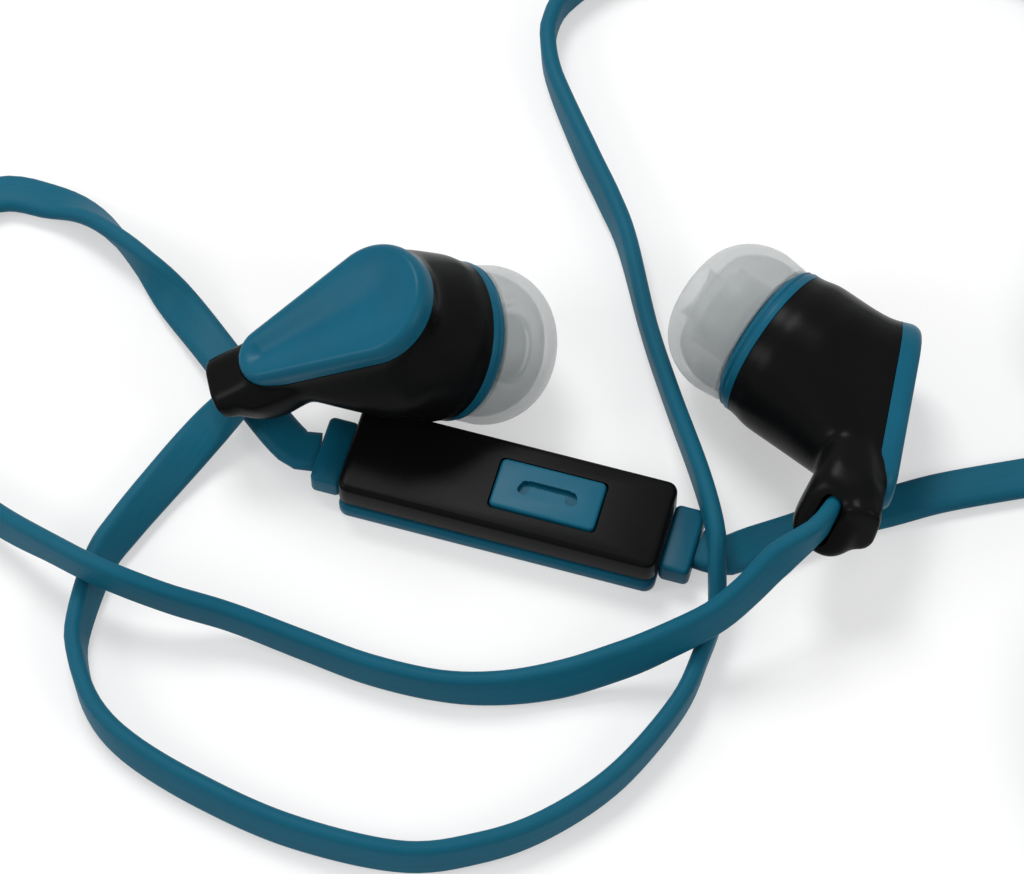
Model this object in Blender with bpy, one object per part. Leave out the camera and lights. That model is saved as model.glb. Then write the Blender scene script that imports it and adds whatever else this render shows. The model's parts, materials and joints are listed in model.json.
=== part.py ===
"""Wired in-ear earphones with a flat cord and an in-line one-button remote.

Metres, +Z up. The origin is the centre of the remote's flat underside, on the
surface that the whole set lies on.
"""

import math

import bmesh
import bpy
from mathutils import Matrix, Vector

MM = 0.001

# General fits
FIT_GAP = 0.3 * MM
SEGMENTS = 32

# Flat cord
CORD_WIDTH = 3.4 * MM
CORD_THICKNESS = 1.35 * MM
CORD_STEP = 3.2 * MM
CORD_STRAIGHT = 2.2 * MM

# Earpiece barrel and front shell
BARREL_RADIUS = 6.75 * MM
BARREL_FRONT_RADIUS = 6.4 * MM
BARREL_LENGTH = 4.2 * MM
BARREL_WALL = 0.7 * MM
SPIGOT_DEPTH = 0.9 * MM
SPIGOT_WALL = 0.9 * MM
COLLAR_LENGTH = 1.3 * MM
NOZZLE_RADIUS = 2.5 * MM
NOZZLE_WALL = 0.8 * MM
NOZZLE_LENGTH = 4.5 * MM
CONE_RADIUS = 4.4 * MM
CONE_HEIGHT = 1.2 * MM
NOZZLE_LIP = 0.25 * MM
SCREEN_THICKNESS = 0.3 * MM

# Silicone ear tip
TIP_RADIUS = 6.4 * MM
TIP_LENGTH = 6.8 * MM
TIP_WALL = 0.6 * MM
TIP_GRIP_CLEARANCE = 0.15 * MM
TIP_SLEEVE_WALL = 0.6 * MM

# Teardrop rear cap and stem
PLATE_TILT = math.radians(27.0)
PLATE_RISE = 4.25 * MM
PLATE_DROP = 9.82 * MM
CAP_BIG_RADIUS = 4.8 * MM
CAP_SMALL_RADIUS = 2.4 * MM
CAP_SPAN = 10.2 * MM
CAP_THICKNESS = 1.5 * MM
CAP_EDGE = 0.8 * MM
CAP_DISH = 0.5 * MM
STEM_WIDTH = 6.6 * MM
STEM_DEPTH = 5.6 * MM
STEM_ROOT_DEPTH = 4.2 * MM
STEM_REACH = 15.6 * MM
STEM_ROUND = 1.7 * MM
STEM_STEP = 0.1 * MM
STEM_SLANT = 0.5
EXIT_LEAN = math.radians(25.0)
EXIT_OFFSET = 0.4 * MM
EXIT_RUN = 1.5 * MM
CHANNEL_DEPTH = 4.6 * MM
WIRE_RADIUS = 0.7 * MM
FLARE_START = 5.0 * MM
FLARE_END = 3.0 * MM
FLARE_STEPS = 5

# Driver inside the barrel
DIAPHRAGM_THICKNESS = 0.3 * MM
DOME_RADIUS = 2.2 * MM
DOME_RISE = 0.5 * MM
FRAME_DEPTH = 1.8 * MM
FRAME_WALL = 0.9 * MM
COIL_WALL = 0.3 * MM
COIL_LENGTH = 1.2 * MM
YOKE_WALL = 0.6 * MM
YOKE_DEPTH = 2.0 * MM
TERMINAL_THICKNESS = 0.5 * MM
TERMINAL_LENGTH = 4.4 * MM
TERMINAL_WIDTH = 3.0 * MM
ANCHOR_LENGTH = 1.6 * MM

# Remote
REMOTE_ANGLE = math.radians(-16.0)
REMOTE_LENGTH = 26.1 * MM
BASE_WIDTH = 8.2 * MM
BASE_HEIGHT = 1.4 * MM
BASE_FLOOR = 0.6 * MM
COVER_WIDTH = 7.9 * MM
COVER_HEIGHT = 2.8 * MM
COVER_ROOF = 0.7 * MM
REMOTE_WALL = 0.9 * MM
REMOTE_CORNER = 0.9 * MM
REMOTE_EDGE = 0.45 * MM
STUB_LENGTH = 2.0 * MM
STUB_WIDTH = 5.9 * MM
STUB_HEIGHT = 2.2 * MM
CORD_LEVEL = 1.8 * MM
BUTTON_LENGTH = 8.6 * MM
BUTTON_WIDTH = 4.3 * MM
BUTTON_OFFSET = 3.3 * MM
BUTTON_PROUD = 0.25 * MM
BUTTON_FLANGE = 0.6 * MM
BUTTON_FLANGE_THICKNESS = 0.5 * MM
BUTTON_CLEARANCE = 0.15 * MM
BOARD_THICKNESS = 0.4 * MM
BOARD_MARGIN = 0.5 * MM
SWITCH_SIDE = 3.4 * MM
SWITCH_HEIGHT = 0.5 * MM
PLUNGER_RADIUS = 1.0 * MM
PLUNGER_HEIGHT = 0.3 * MM
MIC_RADIUS = 1.5 * MM
MIC_HEIGHT = 1.1 * MM
MIC_INSET = 5.55 * MM
MIC_PORT_RADIUS = 0.5 * MM

# Y splitter
SPLITTER_CENTRE = (58.5 * MM, 6.6 * MM)
SPLITTER_ANGLE = math.radians(8.0)
SPLITTER_LENGTH = 12.0 * MM
SPLITTER_WIDTH = 8.6 * MM
SPLITTER_HEIGHT = 2.6 * MM
SPLITTER_REST = 0.3 * MM
BRANCH_OFFSET = 1.95 * MM

# Coil of the main cord and its tie
COIL_CENTRE = (65.0 * MM, -21.0 * MM)
COIL_OUTER_RADIUS = 22.6 * MM
COIL_PITCH = 1.45 * MM
COIL_TURNS = 7 + 100 / 360
TIE_WIDTH = 6.0 * MM
TIE_THICKNESS = 1.0 * MM
TIE_ANGLE = math.radians(20.0)
TAIL_START = math.radians(-30.0)
TAIL_SWEEP = math.radians(180.0)
TAIL_LEAD = 2.5 * MM

# 3.5 mm plug
GRIP_RADIUS = 2.8 * MM
GRIP_LENGTH = 14.0 * MM
BOOT_LENGTH = 5.0 * MM
BOOT_RADIUS = 2.1 * MM
JACK_RADIUS = 1.75 * MM
JACK_WALL = 0.35 * MM
SLEEVE_LENGTH = 5.2 * MM
RING_LENGTH = 2.2 * MM
TIP_CONTACT_LENGTH = 3.4 * MM
INSULATOR_LENGTH = 0.5 * MM
JACK_CLEARANCE = 0.1 * MM

# Where each earpiece lies: collar centre, nozzle direction and sideways direction.
# The hand mirrors the slanted cord exit.
EARPIECES = {
    "left": ((-4.95, 11.0, 8.25), (0.822, 0.183, -0.541), (-0.213, 0.977, 0.007), -1),
    "right": ((21.63, 11.09, 6.95), (-0.79, 0.61, 0.03), (0.17, 0.18, 0.97), 1),
}

# Hand-chosen cord routes in millimetres: x, y, z and roll in degrees, 0 on edge, 90 flat.
LEFT_ROUTE = [
    (-24.3, 5.9, 2.0, 80), (-27.6, 1.8, 1.5, 52), (-30.4, -2.2, 1.65, 38), (-32.2, -5.3, 1.7, 28),
    (-33.6, -10.7, 1.75, 16), (-33.6, -13.8, 1.75, 6), (-32.2, -18.0, 1.75, -2),
    (-29.3, -21.4, 1.75, -11), (-23.8, -25.0, 1.75, -15), (-16.6, -28.4, 1.75, -14),
    (-8.2, -30.5, 1.75, -10), (-2.2, -29.8, 1.75, -9), (3.0, -27.8, 1.75, -6), (8.4, -23.9, 1.75, -4),
    (13.1, -18.1, 1.8, 0), (15.1, -13.6, 1.8, 3), (16.3, -10.0, 2.2, 2), (16.4, -6.9, 4.2, 0),
    (16.3, -4.4, 5.2, 0), (15.3, 0.5, 4.7, 0), (13.2, 8.6, 2.9, -2), (11.5, 15.5, 1.85, -2),
    (9.8, 23.7, 1.8, 5), (8.4, 27.8, 1.8, 10), (6.5, 32.5, 1.8, 10), (4.0, 39.5, 1.75, -1),
    (3.4, 43.2, 1.75, -3), (3.6, 45.3, 1.75, 0), (4.8, 47.7, 1.75, 0), (8.5, 50.6, 1.75, 0),
    (15.0, 52.3, 1.75, 0), (25.0, 52.6, 1.75, 0), (35.0, 52.3, 1.75, 0), (44.5, 50.0, 1.75, 0),
    (49.0, 42.0, 1.75, 0), (49.2, 32.0, 1.75, 0), (47.0, 23.0, 1.75, 0), (45.2, 17.0, 1.75, 10),
    (45.2, 12.0, 1.7, 35), (46.6, 9.0, 1.6, 70),
]
RIGHT_UPPER_ROUTE = [
    (20.9, -8.9, 9.2, 22), (18.4, -10.9, 7.6, 16), (15.8, -12.4, 5.9, 16),
    (11.8, -13.8, 4.2, 22), (8.7, -14.6, 2.9, 28), (4.1, -15.7, 1.9, 28), (-0.6, -16.4, 1.8, 17),
    (-5.3, -16.2, 1.8, 9), (-10.8, -14.8, 1.8, 8), (-16.1, -12.7, 1.9, 6),
    (-21.6, -10.8, 2.8, 3), (-26.7, -9.8, 4.3, 3), (-31.8, -8.1, 5.3, 4), (-35.9, -5.6, 4.7, 4),
    (-40.1, -2.5, 3.2, 10), (-45.5, 2.0, 2.0, 18), (-50.3, 7.6, 1.8, 20), (-52.6, 14.0, 1.8, 20),
    (-51.6, 20.6, 1.7, 32), (-47.8, 26.0, 1.5, 56), (-42.1, 28.9, 1.0, 85), (-37.8, 28.2, 0.95, 78),
    (-34.7, 26.8, 1.4, 47), (-32.1, 24.4, 1.75, 18), (-29.5, 21.5, 1.75, -12), (-26.7, 18.1, 1.15, -68),
    (-24.0, 14.4, 1.2, -88), (-20.9, 9.8, 1.65, -90),
]
RIGHT_LOWER_ROUTE = [
    (19.4, -3.9, 1.4, 90), (22.3, -2.75, 1.1, 90), (26.2, -1.25, 0.9, 90), (30.3, -0.1, 0.8, 90),
    (34.7, 1.2, 0.8, 90), (41.3, 2.5, 0.8, 90), (46.0, 3.2, 1.0, 90),
]
MAIN_LEAD_ROUTE = [(70.9, 6.8, 2.2, 45), (73.6, 2.4, 2.9, 5)]

# Values worked out from the sizes above
BORE_RADIUS = BARREL_FRONT_RADIUS - BARREL_WALL
SPIGOT_RADIUS = BORE_RADIUS - FIT_GAP
NOZZLE_BASE = FIT_GAP + COLLAR_LENGTH
NOZZLE_END = NOZZLE_BASE + NOZZLE_LENGTH
NOZZLE_BORE = NOZZLE_RADIUS - NOZZLE_WALL
SLEEVE_BORE = NOZZLE_RADIUS + NOZZLE_LIP + TIP_GRIP_CLEARANCE
SLEEVE_RADIUS = SLEEVE_BORE + TIP_SLEEVE_WALL
TIP_BACK = NOZZLE_BASE + TIP_GRIP_CLEARANCE
TIP_FRONT = TIP_BACK + TIP_LENGTH
PLATE_FRONT = CAP_THICKNESS + FIT_GAP
STEM_MIDDLE = PLATE_FRONT + STEM_DEPTH / 2
SLOT_WIDTH = CORD_WIDTH + 2 * FIT_GAP
SLOT_HEIGHT = CORD_THICKNESS + 2 * FIT_GAP
ANCHOR_START = FIT_GAP - CHANNEL_DEPTH
CORD_START = ANCHOR_START + ANCHOR_LENGTH + FIT_GAP
DIAPHRAGM_TOP = -SPIGOT_DEPTH - FIT_GAP
FRAME_TOP = DIAPHRAGM_TOP - DIAPHRAGM_THICKNESS - FIT_GAP
FRAME_BOTTOM = FRAME_TOP - FRAME_DEPTH
YOKE_INNER = DOME_RADIUS + COIL_WALL + FIT_GAP
YOKE_RADIUS = YOKE_INNER + YOKE_WALL
YOKE_TOP = FRAME_TOP - COIL_LENGTH / 2
YOKE_BOTTOM = YOKE_TOP - YOKE_DEPTH
TERMINAL_TOP = YOKE_BOTTOM - FIT_GAP
CAVITY_FLOOR = TERMINAL_TOP - TERMINAL_THICKNESS - FIT_GAP
CAVITY_RADIUS = YOKE_RADIUS + FIT_GAP
MIC_OFFSET = MIC_INSET - REMOTE_LENGTH / 2
COVER_BOTTOM = BASE_HEIGHT + FIT_GAP
COVER_TOP = COVER_BOTTOM + COVER_HEIGHT
ROOF_UNDER = COVER_TOP - COVER_ROOF
BOARD_BOTTOM = BASE_FLOOR + FIT_GAP
SWITCH_BOTTOM = BOARD_BOTTOM + BOARD_THICKNESS + FIT_GAP
FLANGE_TOP = ROOF_UNDER - FIT_GAP
FLANGE_BOTTOM = FLANGE_TOP - BUTTON_FLANGE_THICKNESS
PLUNGER_TOP = FLANGE_BOTTOM - FIT_GAP
STUB_FAR = REMOTE_LENGTH / 2 + FIT_GAP + STUB_LENGTH
SPLITTER_LEVEL = SPLITTER_REST + SPLITTER_HEIGHT / 2
COIL_INNER_RADIUS = COIL_OUTER_RADIUS - COIL_TURNS * COIL_PITCH
COIL_BOTTOM = TIE_THICKNESS + FIT_GAP
COIL_TOP = COIL_BOTTOM + CORD_WIDTH
COIL_LEVEL = COIL_BOTTOM + CORD_WIDTH / 2
RING_OUTER = COIL_OUTER_RADIUS + CORD_THICKNESS / 2
RING_INNER = COIL_INNER_RADIUS - CORD_THICKNESS / 2
TAIL_RADIUS = RING_INNER - FIT_GAP - CORD_THICKNESS / 2
PLUG_LEVEL = COIL_TOP + FIT_GAP + GRIP_RADIUS
JACK_CORE = JACK_RADIUS - JACK_WALL - JACK_CLEARANCE
STEM_DIRECTION = Vector((0, -math.cos(PLATE_TILT), -math.sin(PLATE_TILT)))
PLATE_FORWARD = Vector((0, -math.sin(PLATE_TILT), math.cos(PLATE_TILT)))
CAP_CENTRE = Vector((0, PLATE_RISE, -PLATE_DROP))
EXIT_DIRECTION = math.cos(EXIT_LEAN) * STEM_DIRECTION + math.sin(EXIT_LEAN) * PLATE_FORWARD
EXIT_ACROSS = math.cos(EXIT_LEAN) * PLATE_FORWARD - math.sin(EXIT_LEAN) * STEM_DIRECTION
MOUTH = CAP_CENTRE + STEM_REACH * STEM_DIRECTION + (STEM_MIDDLE + EXIT_OFFSET) * PLATE_FORWARD

COLOURS = {
    "blue_plastic": ((0.010, 0.086, 0.142, 1), 0.35, 0.0),
    "black_plastic": ((0.006, 0.006, 0.006, 1), 0.28, 0.0),
    "silicone": ((0.72, 0.73, 0.73, 1), 0.45, 0.0),
    "cord_blue": ((0.010, 0.093, 0.147, 1), 0.5, 0.0),
    "steel": ((0.52, 0.52, 0.53, 1), 0.35, 1.0),
    "magnet": ((0.30, 0.30, 0.32, 1), 0.4, 1.0),
    "copper": ((0.60, 0.28, 0.14, 1), 0.4, 1.0),
    "film": ((0.55, 0.50, 0.40, 1), 0.3, 0.0),
    "board": ((0.02, 0.16, 0.06, 1), 0.5, 0.0),
    "gold": ((0.78, 0.58, 0.26, 1), 0.25, 1.0),
    "dark_rubber": ((0.02, 0.02, 0.02, 1), 0.7, 0.0),
}


def clear_scene():
    """Remove every object that is already in the file."""
    for old in list(bpy.data.objects):
        bpy.data.objects.remove(old, do_unlink=True)


def material_for(node, colour):
    """A Principled BSDF of the piece's own."""
    base, roughness, metallic = COLOURS[colour]
    material = bpy.data.materials.new(node)
    material.use_nodes = True
    shader = material.node_tree.nodes["Principled BSDF"]
    shader.inputs["Base Color"].default_value = base
    shader.inputs["Roughness"].default_value = roughness
    shader.inputs["Metallic"].default_value = metallic
    return material


def holder(name, matrix):
    """An empty that carries the pieces of one unit."""
    empty = bpy.data.objects.new(name, None)
    empty.matrix_world = matrix
    bpy.context.scene.collection.objects.link(empty)
    return empty


def finish(bm, name, colour, parent, smooth=True):
    """Turn a bmesh into an object under its holder."""
    bmesh.ops.recalc_face_normals(bm, faces=bm.faces)
    mesh = bpy.data.meshes.new(name)
    bm.to_mesh(mesh)
    bm.free()
    if smooth:
        mesh.shade_smooth()
        mesh.set_sharp_from_angle(angle=math.radians(40))
    piece = bpy.data.objects.new(name, mesh)
    bpy.context.scene.collection.objects.link(piece)
    piece.parent = parent
    if colour:
        mesh.materials.append(material_for(name, colour))
    else:
        piece.hide_render = True
        piece.display_type = "WIRE"
    return piece


def turned(name, profile, colour, parent, closed=True):
    """Turn a profile of radius and height points about the holder's Z axis."""
    bm = bmesh.new()
    points = [bm.verts.new((radius, 0, height)) for radius, height in profile]
    edges = [bm.edges.new(pair) for pair in zip(points, points[1:])]
    if closed:
        edges.append(bm.edges.new((points[-1], points[0])))
    bmesh.ops.spin(bm, geom=points + edges, axis=(0, 0, 1), cent=(0, 0, 0),
                   steps=SEGMENTS, angle=2 * math.pi, use_merge=True)
    bmesh.ops.remove_doubles(bm, verts=bm.verts, dist=0.001 * MM)
    return finish(bm, name, colour, parent)


def lofted(name, rings, colour, parent):
    """Skin a row of rings with equal point counts and close both ends."""
    bm = bmesh.new()
    rows = [[bm.verts.new(point) for point in ring] for ring in rings]
    count = len(rows[0])
    for lower, upper in zip(rows, rows[1:]):
        for i in range(count):
            j = (i + 1) % count
            bm.faces.new((lower[i], lower[j], upper[j], upper[i]))
    bm.faces.new(rows[0])
    bm.faces.new(rows[-1])
    return finish(bm, name, colour, parent)


def combine(target, other, operation):
    """Add a Boolean that unites or cuts with a hidden helper."""
    modifier = target.modifiers.new(other.name, "BOOLEAN")
    modifier.operation = operation
    modifier.object = other
    modifier.solver = "EXACT"


def rounded_outline(length, width, corner, steps=4):
    """Points of a rectangle with round corners, about the origin."""
    points = []
    for k, (sx, sy) in enumerate([(1, 1), (-1, 1), (-1, -1), (1, -1)]):
        centre = Vector((sx * (length / 2 - corner), sy * (width / 2 - corner)))
        for i in range(steps + 1):
            angle = math.radians(90) * (k + i / steps)
            points.append(centre + corner * Vector((math.cos(angle), math.sin(angle))))
    return points


def block(name, length, width, levels, corner, colour, parent, centre=(0, 0)):
    """A round-cornered block, one ring for each (height, inset) level."""
    rings = []
    for height, inset in levels:
        outline = rounded_outline(length - 2 * inset, width - 2 * inset, max(corner - inset, 0.05 * MM))
        rings.append([(centre[0] + p.x, centre[1] + p.y, height) for p in outline])
    return lofted(name, rings, colour, parent)


def teardrop(forward, inset=0.0):
    """The cap's outline in the earpiece frame, at a distance forward of its back face."""
    half = math.acos((CAP_BIG_RADIUS - CAP_SMALL_RADIUS) / CAP_SPAN)
    points = []
    for i in range(SEGMENTS):
        angle = 2 * math.pi * (i + 0.5) / SEGMENTS
        small = math.cos(angle) > math.cos(half)
        radius = (CAP_SMALL_RADIUS if small else CAP_BIG_RADIUS) - inset
        along = (CAP_SPAN if small else 0.0) + radius * math.cos(angle)
        point = CAP_CENTRE + along * STEM_DIRECTION + forward * PLATE_FORWARD
        points.append(point + Vector((radius * math.sin(angle), 0, 0)))
    return points


def barrel_ring(radius, height):
    """A circle whose points face the same way as the teardrop's."""
    angles = [2 * math.pi * (i + 0.5) / SEGMENTS for i in range(SEGMENTS)]
    return [Vector((radius * math.sin(a), -radius * math.cos(a), height)) for a in angles]


def stem_outline(width, depth):
    """A round-cornered section of the stem."""
    return rounded_outline(width, depth, min(STEM_ROUND, width / 2.2, depth / 2.2))


def stem_ring(reach):
    """The stem's section at a distance from the cap's centre, square to the plate."""
    forward = PLATE_FRONT + STEM_STEP + STEM_ROOT_DEPTH / 2
    middle = CAP_CENTRE + reach * STEM_DIRECTION + forward * PLATE_FORWARD
    outline = stem_outline(STEM_WIDTH, STEM_ROOT_DEPTH)
    return [middle + p.y * PLATE_FORWARD + Vector((p.x, 0, 0)) for p in outline]


def exit_ring(distance, outline, slant=0.0):
    """A section at a distance beyond the mouth, on the leaning line that the cord leaves by."""
    return [
        MOUTH + (distance - slant * p.x) * EXIT_DIRECTION + p.y * EXIT_ACROSS + Vector((p.x, 0, 0))
        for p in outline
    ]


def earpiece_matrix(side):
    """The pose of one earpiece."""
    place, nozzle, across, _ = EARPIECES[side]
    z_axis = Vector(nozzle).normalized()
    x_axis = (Vector(across) - Vector(across).dot(z_axis) * z_axis).normalized()
    y_axis = z_axis.cross(x_axis)
    turn = Matrix((x_axis, y_axis, z_axis)).transposed().to_4x4()
    return Matrix.Translation(Vector(place) * MM) @ turn


def flare_rings():
    """Rings that carry the barrel's circle smoothly into the plate's teardrop."""
    circle = barrel_ring(BARREL_RADIUS, -BARREL_LENGTH)
    plate = teardrop(PLATE_FRONT)
    leave = Vector((0, 0, -FLARE_START))
    arrive = -FLARE_END * PLATE_FORWARD
    rings = []
    for k in range(FLARE_STEPS + 1):
        t = k / FLARE_STEPS
        near = 2 * t**3 - 3 * t**2 + 1
        pull = (t**3 - 2 * t**2 + t) * leave + (t**3 - t**2) * arrive
        rings.append([near * a + (1 - near) * b + pull for a, b in zip(circle, plate)])
    return rings


def make_body_shell(side, parent, hand):
    """Black shell: barrel, flare to the teardrop plate and the hollow stem."""
    shell = lofted(
        f"body_shell_{side}",
        [
            barrel_ring(BARREL_FRONT_RADIUS, 0),
            barrel_ring(BARREL_RADIUS, -BARREL_LENGTH * 0.3),
            *flare_rings(),
        ],
        "black_plastic", parent,
    )
    stem = lofted(
        f"stem_form_{side}",
        [
            stem_ring(STEM_REACH * 0.25), stem_ring(STEM_REACH * 0.6),
            exit_ring(-STEM_ROUND, stem_outline(STEM_WIDTH, STEM_DEPTH), hand * STEM_SLANT),
            exit_ring(0, stem_outline(STEM_WIDTH - STEM_ROUND, STEM_DEPTH - STEM_ROUND), hand * STEM_SLANT),
        ],
        None, parent,
    )
    combine(shell, stem, "UNION")
    open_end = BARREL_LENGTH
    cavity = turned(
        f"cavity_{side}",
        [(0, open_end), (BORE_RADIUS, open_end), (BORE_RADIUS, FRAME_BOTTOM - FIT_GAP),
         (CAVITY_RADIUS, FRAME_BOTTOM - FIT_GAP), (CAVITY_RADIUS, CAVITY_FLOOR), (0, CAVITY_FLOOR)],
        None, parent, closed=False,
    )
    combine(shell, cavity, "DIFFERENCE")
    slot_outline = rounded_outline(SLOT_WIDTH, SLOT_HEIGHT, SLOT_HEIGHT * 0.4)
    slot_rings = [exit_ring(distance, slot_outline) for distance in (-CHANNEL_DEPTH, STEM_WIDTH)]
    slot = lofted(f"cord_slot_{side}", slot_rings, None, parent)
    combine(shell, slot, "DIFFERENCE")
    driver_end = Vector((0, -CAVITY_RADIUS / 2, CAVITY_FLOOR + FIT_GAP))
    cord_end = MOUTH + ANCHOR_START * EXIT_DIRECTION
    wire_turn = (cord_end - driver_end).to_track_quat("Z", "X")
    wire_outline = [Vector((WIRE_RADIUS * p.x, WIRE_RADIUS * p.y, 0)) for p in rounded_outline(2, 2, 1, 3)]
    wire_rings = [[end + wire_turn @ p for p in wire_outline] for end in (driver_end, cord_end)]
    wire_way = lofted(f"wire_way_{side}", wire_rings, None, parent)
    combine(shell, wire_way, "DIFFERENCE")


def make_front_shell(side, parent):
    """Blue collar with its spigot, cone and nozzle."""
    inner = SPIGOT_RADIUS - SPIGOT_WALL
    lip = NOZZLE_RADIUS + NOZZLE_LIP
    chamfer = COLLAR_LENGTH * 0.4
    turned(
        f"front_shell_{side}",
        [
            (SPIGOT_RADIUS, -SPIGOT_DEPTH), (SPIGOT_RADIUS, FIT_GAP),
            (BARREL_FRONT_RADIUS, FIT_GAP), (BARREL_FRONT_RADIUS - chamfer * 0.2, NOZZLE_BASE - chamfer),
            (BARREL_FRONT_RADIUS - chamfer, NOZZLE_BASE), (CONE_RADIUS, NOZZLE_BASE + CONE_HEIGHT * 0.75),
            (NOZZLE_RADIUS, NOZZLE_BASE + CONE_HEIGHT),
            (NOZZLE_RADIUS, NOZZLE_END - 4 * NOZZLE_LIP),
            (lip, NOZZLE_END - 3 * NOZZLE_LIP), (lip, NOZZLE_END - NOZZLE_LIP),
            (NOZZLE_RADIUS, NOZZLE_END), (NOZZLE_BORE, NOZZLE_END),
            (NOZZLE_BORE, FIT_GAP), (inner, -FIT_GAP), (inner, -SPIGOT_DEPTH),
        ],
        "blue_plastic", parent,
    )
    screen_top = NOZZLE_END - FIT_GAP
    screen_radius = NOZZLE_BORE - FIT_GAP / 2
    turned(
        f"nozzle_screen_{side}",
        [(0, screen_top), (screen_radius, screen_top),
         (screen_radius, screen_top - SCREEN_THICKNESS), (0, screen_top - SCREEN_THICKNESS)],
        "steel", parent, closed=False,
    )


def make_ear_tip(side, parent):
    """Silicone mushroom tip: a domed skirt on an inner sleeve."""
    mouth = SLEEVE_BORE * 0.72
    dome = []
    for i in range(8):
        angle = math.radians(12.0 + 78.0 * i / 7)
        dome.append((
            mouth + (TIP_RADIUS - mouth) * math.sin(angle),
            TIP_FRONT - TIP_LENGTH * 0.72 * (1 - math.cos(angle)),
        ))
    inside = []
    for i in range(6):
        angle = math.radians(90.0 - 62.0 * i / 5)
        inside.append((
            SLEEVE_RADIUS * 0.7 + (TIP_RADIUS - TIP_WALL - SLEEVE_RADIUS * 0.7) * math.sin(angle),
            TIP_FRONT - 2 * TIP_WALL - (TIP_LENGTH * 0.72 - TIP_WALL) * (1 - math.cos(angle)),
        ))
    skirt = [(TIP_RADIUS * 0.97, TIP_BACK), (TIP_RADIUS * 0.97 - TIP_WALL, TIP_BACK)]
    sleeve_back = NOZZLE_BASE + CONE_HEIGHT + FIT_GAP
    sleeve = [
        (SLEEVE_RADIUS, inside[-1][1] - TIP_WALL), (SLEEVE_RADIUS, sleeve_back), (SLEEVE_BORE, sleeve_back),
        (SLEEVE_BORE, NOZZLE_END + FIT_GAP), (mouth, NOZZLE_END + 2 * FIT_GAP),
    ]
    inside = [point for point in inside if point[0] > SLEEVE_RADIUS]
    turned(f"ear_tip_{side}", [(mouth, TIP_FRONT)] + dome + skirt + inside + sleeve, "silicone", parent)


def make_rear_cap(side, parent):
    """Blue teardrop cap with a shallow dish in its back."""
    rim = CAP_SMALL_RADIUS * 0.5
    deep = CAP_SMALL_RADIUS * 0.85
    rings = [
        teardrop(CAP_THICKNESS), teardrop(CAP_EDGE), teardrop(0, CAP_EDGE),
        teardrop(0, rim), teardrop(CAP_DISH, deep),
    ]
    lofted(f"rear_cap_{side}", rings, "blue_plastic", parent)


def make_driver(side, parent):
    """Dynamic driver: diaphragm, voice coil, frame, yoke, magnet and terminal board."""
    low = DIAPHRAGM_TOP - DIAPHRAGM_THICKNESS
    turned(
        f"diaphragm_{side}",
        [(0, DIAPHRAGM_TOP + DOME_RISE), (DOME_RADIUS * 0.6, DIAPHRAGM_TOP + DOME_RISE * 0.7),
         (DOME_RADIUS, DIAPHRAGM_TOP), (SPIGOT_RADIUS, DIAPHRAGM_TOP), (SPIGOT_RADIUS, low), (0, low)],
        "film", parent, closed=False,
    )
    coil_top = low - FIT_GAP
    turned(
        f"voice_coil_{side}",
        [(DOME_RADIUS + COIL_WALL, coil_top), (DOME_RADIUS + COIL_WALL, coil_top - COIL_LENGTH),
         (DOME_RADIUS, coil_top - COIL_LENGTH), (DOME_RADIUS, coil_top)],
        "copper", parent,
    )
    hole = YOKE_RADIUS + FIT_GAP
    floor = FRAME_BOTTOM + FRAME_WALL
    turned(
        f"driver_frame_{side}",
        [(SPIGOT_RADIUS, FRAME_TOP), (SPIGOT_RADIUS, FRAME_BOTTOM), (hole, FRAME_BOTTOM), (hole, floor),
         (SPIGOT_RADIUS - FRAME_WALL, floor), (SPIGOT_RADIUS - FRAME_WALL, FRAME_TOP)],
        "black_plastic", parent,
    )
    yoke_floor = YOKE_BOTTOM + YOKE_WALL
    turned(
        f"driver_yoke_{side}",
        [(0, yoke_floor), (YOKE_INNER, yoke_floor), (YOKE_INNER, YOKE_TOP), (YOKE_RADIUS, YOKE_TOP),
         (YOKE_RADIUS, YOKE_BOTTOM), (0, YOKE_BOTTOM)],
        "steel", parent, closed=False,
    )
    magnet_radius = DOME_RADIUS - FIT_GAP
    turned(
        f"driver_magnet_{side}",
        [(0, coil_top), (magnet_radius, coil_top), (magnet_radius, yoke_floor + FIT_GAP),
         (0, yoke_floor + FIT_GAP)],
        "magnet", parent, closed=False,
    )
    block(
        f"terminal_board_{side}", TERMINAL_LENGTH, TERMINAL_WIDTH,
        [(TERMINAL_TOP - TERMINAL_THICKNESS, 0), (TERMINAL_TOP, 0)], 0.3 * MM, "board", parent,
    )


def make_cord_anchor(side, parent):
    """Crimp that stops the cord inside the stem."""
    outline = rounded_outline(CORD_WIDTH, CORD_THICKNESS, CORD_THICKNESS * 0.3)
    rings = [exit_ring(distance, outline) for distance in (ANCHOR_START, ANCHOR_START + ANCHOR_LENGTH)]
    lofted(f"cord_anchor_{side}", rings, "steel", parent)


def make_earpiece(side):
    """Every piece of one earpiece, on an empty at the collar's centre."""
    parent = holder(f"earpiece_{side}", earpiece_matrix(side))
    hand = EARPIECES[side][3]
    make_body_shell(side, parent, hand)
    make_front_shell(side, parent)
    make_ear_tip(side, parent)
    make_rear_cap(side, parent)
    make_driver(side, parent)
    make_cord_anchor(side, parent)


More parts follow.
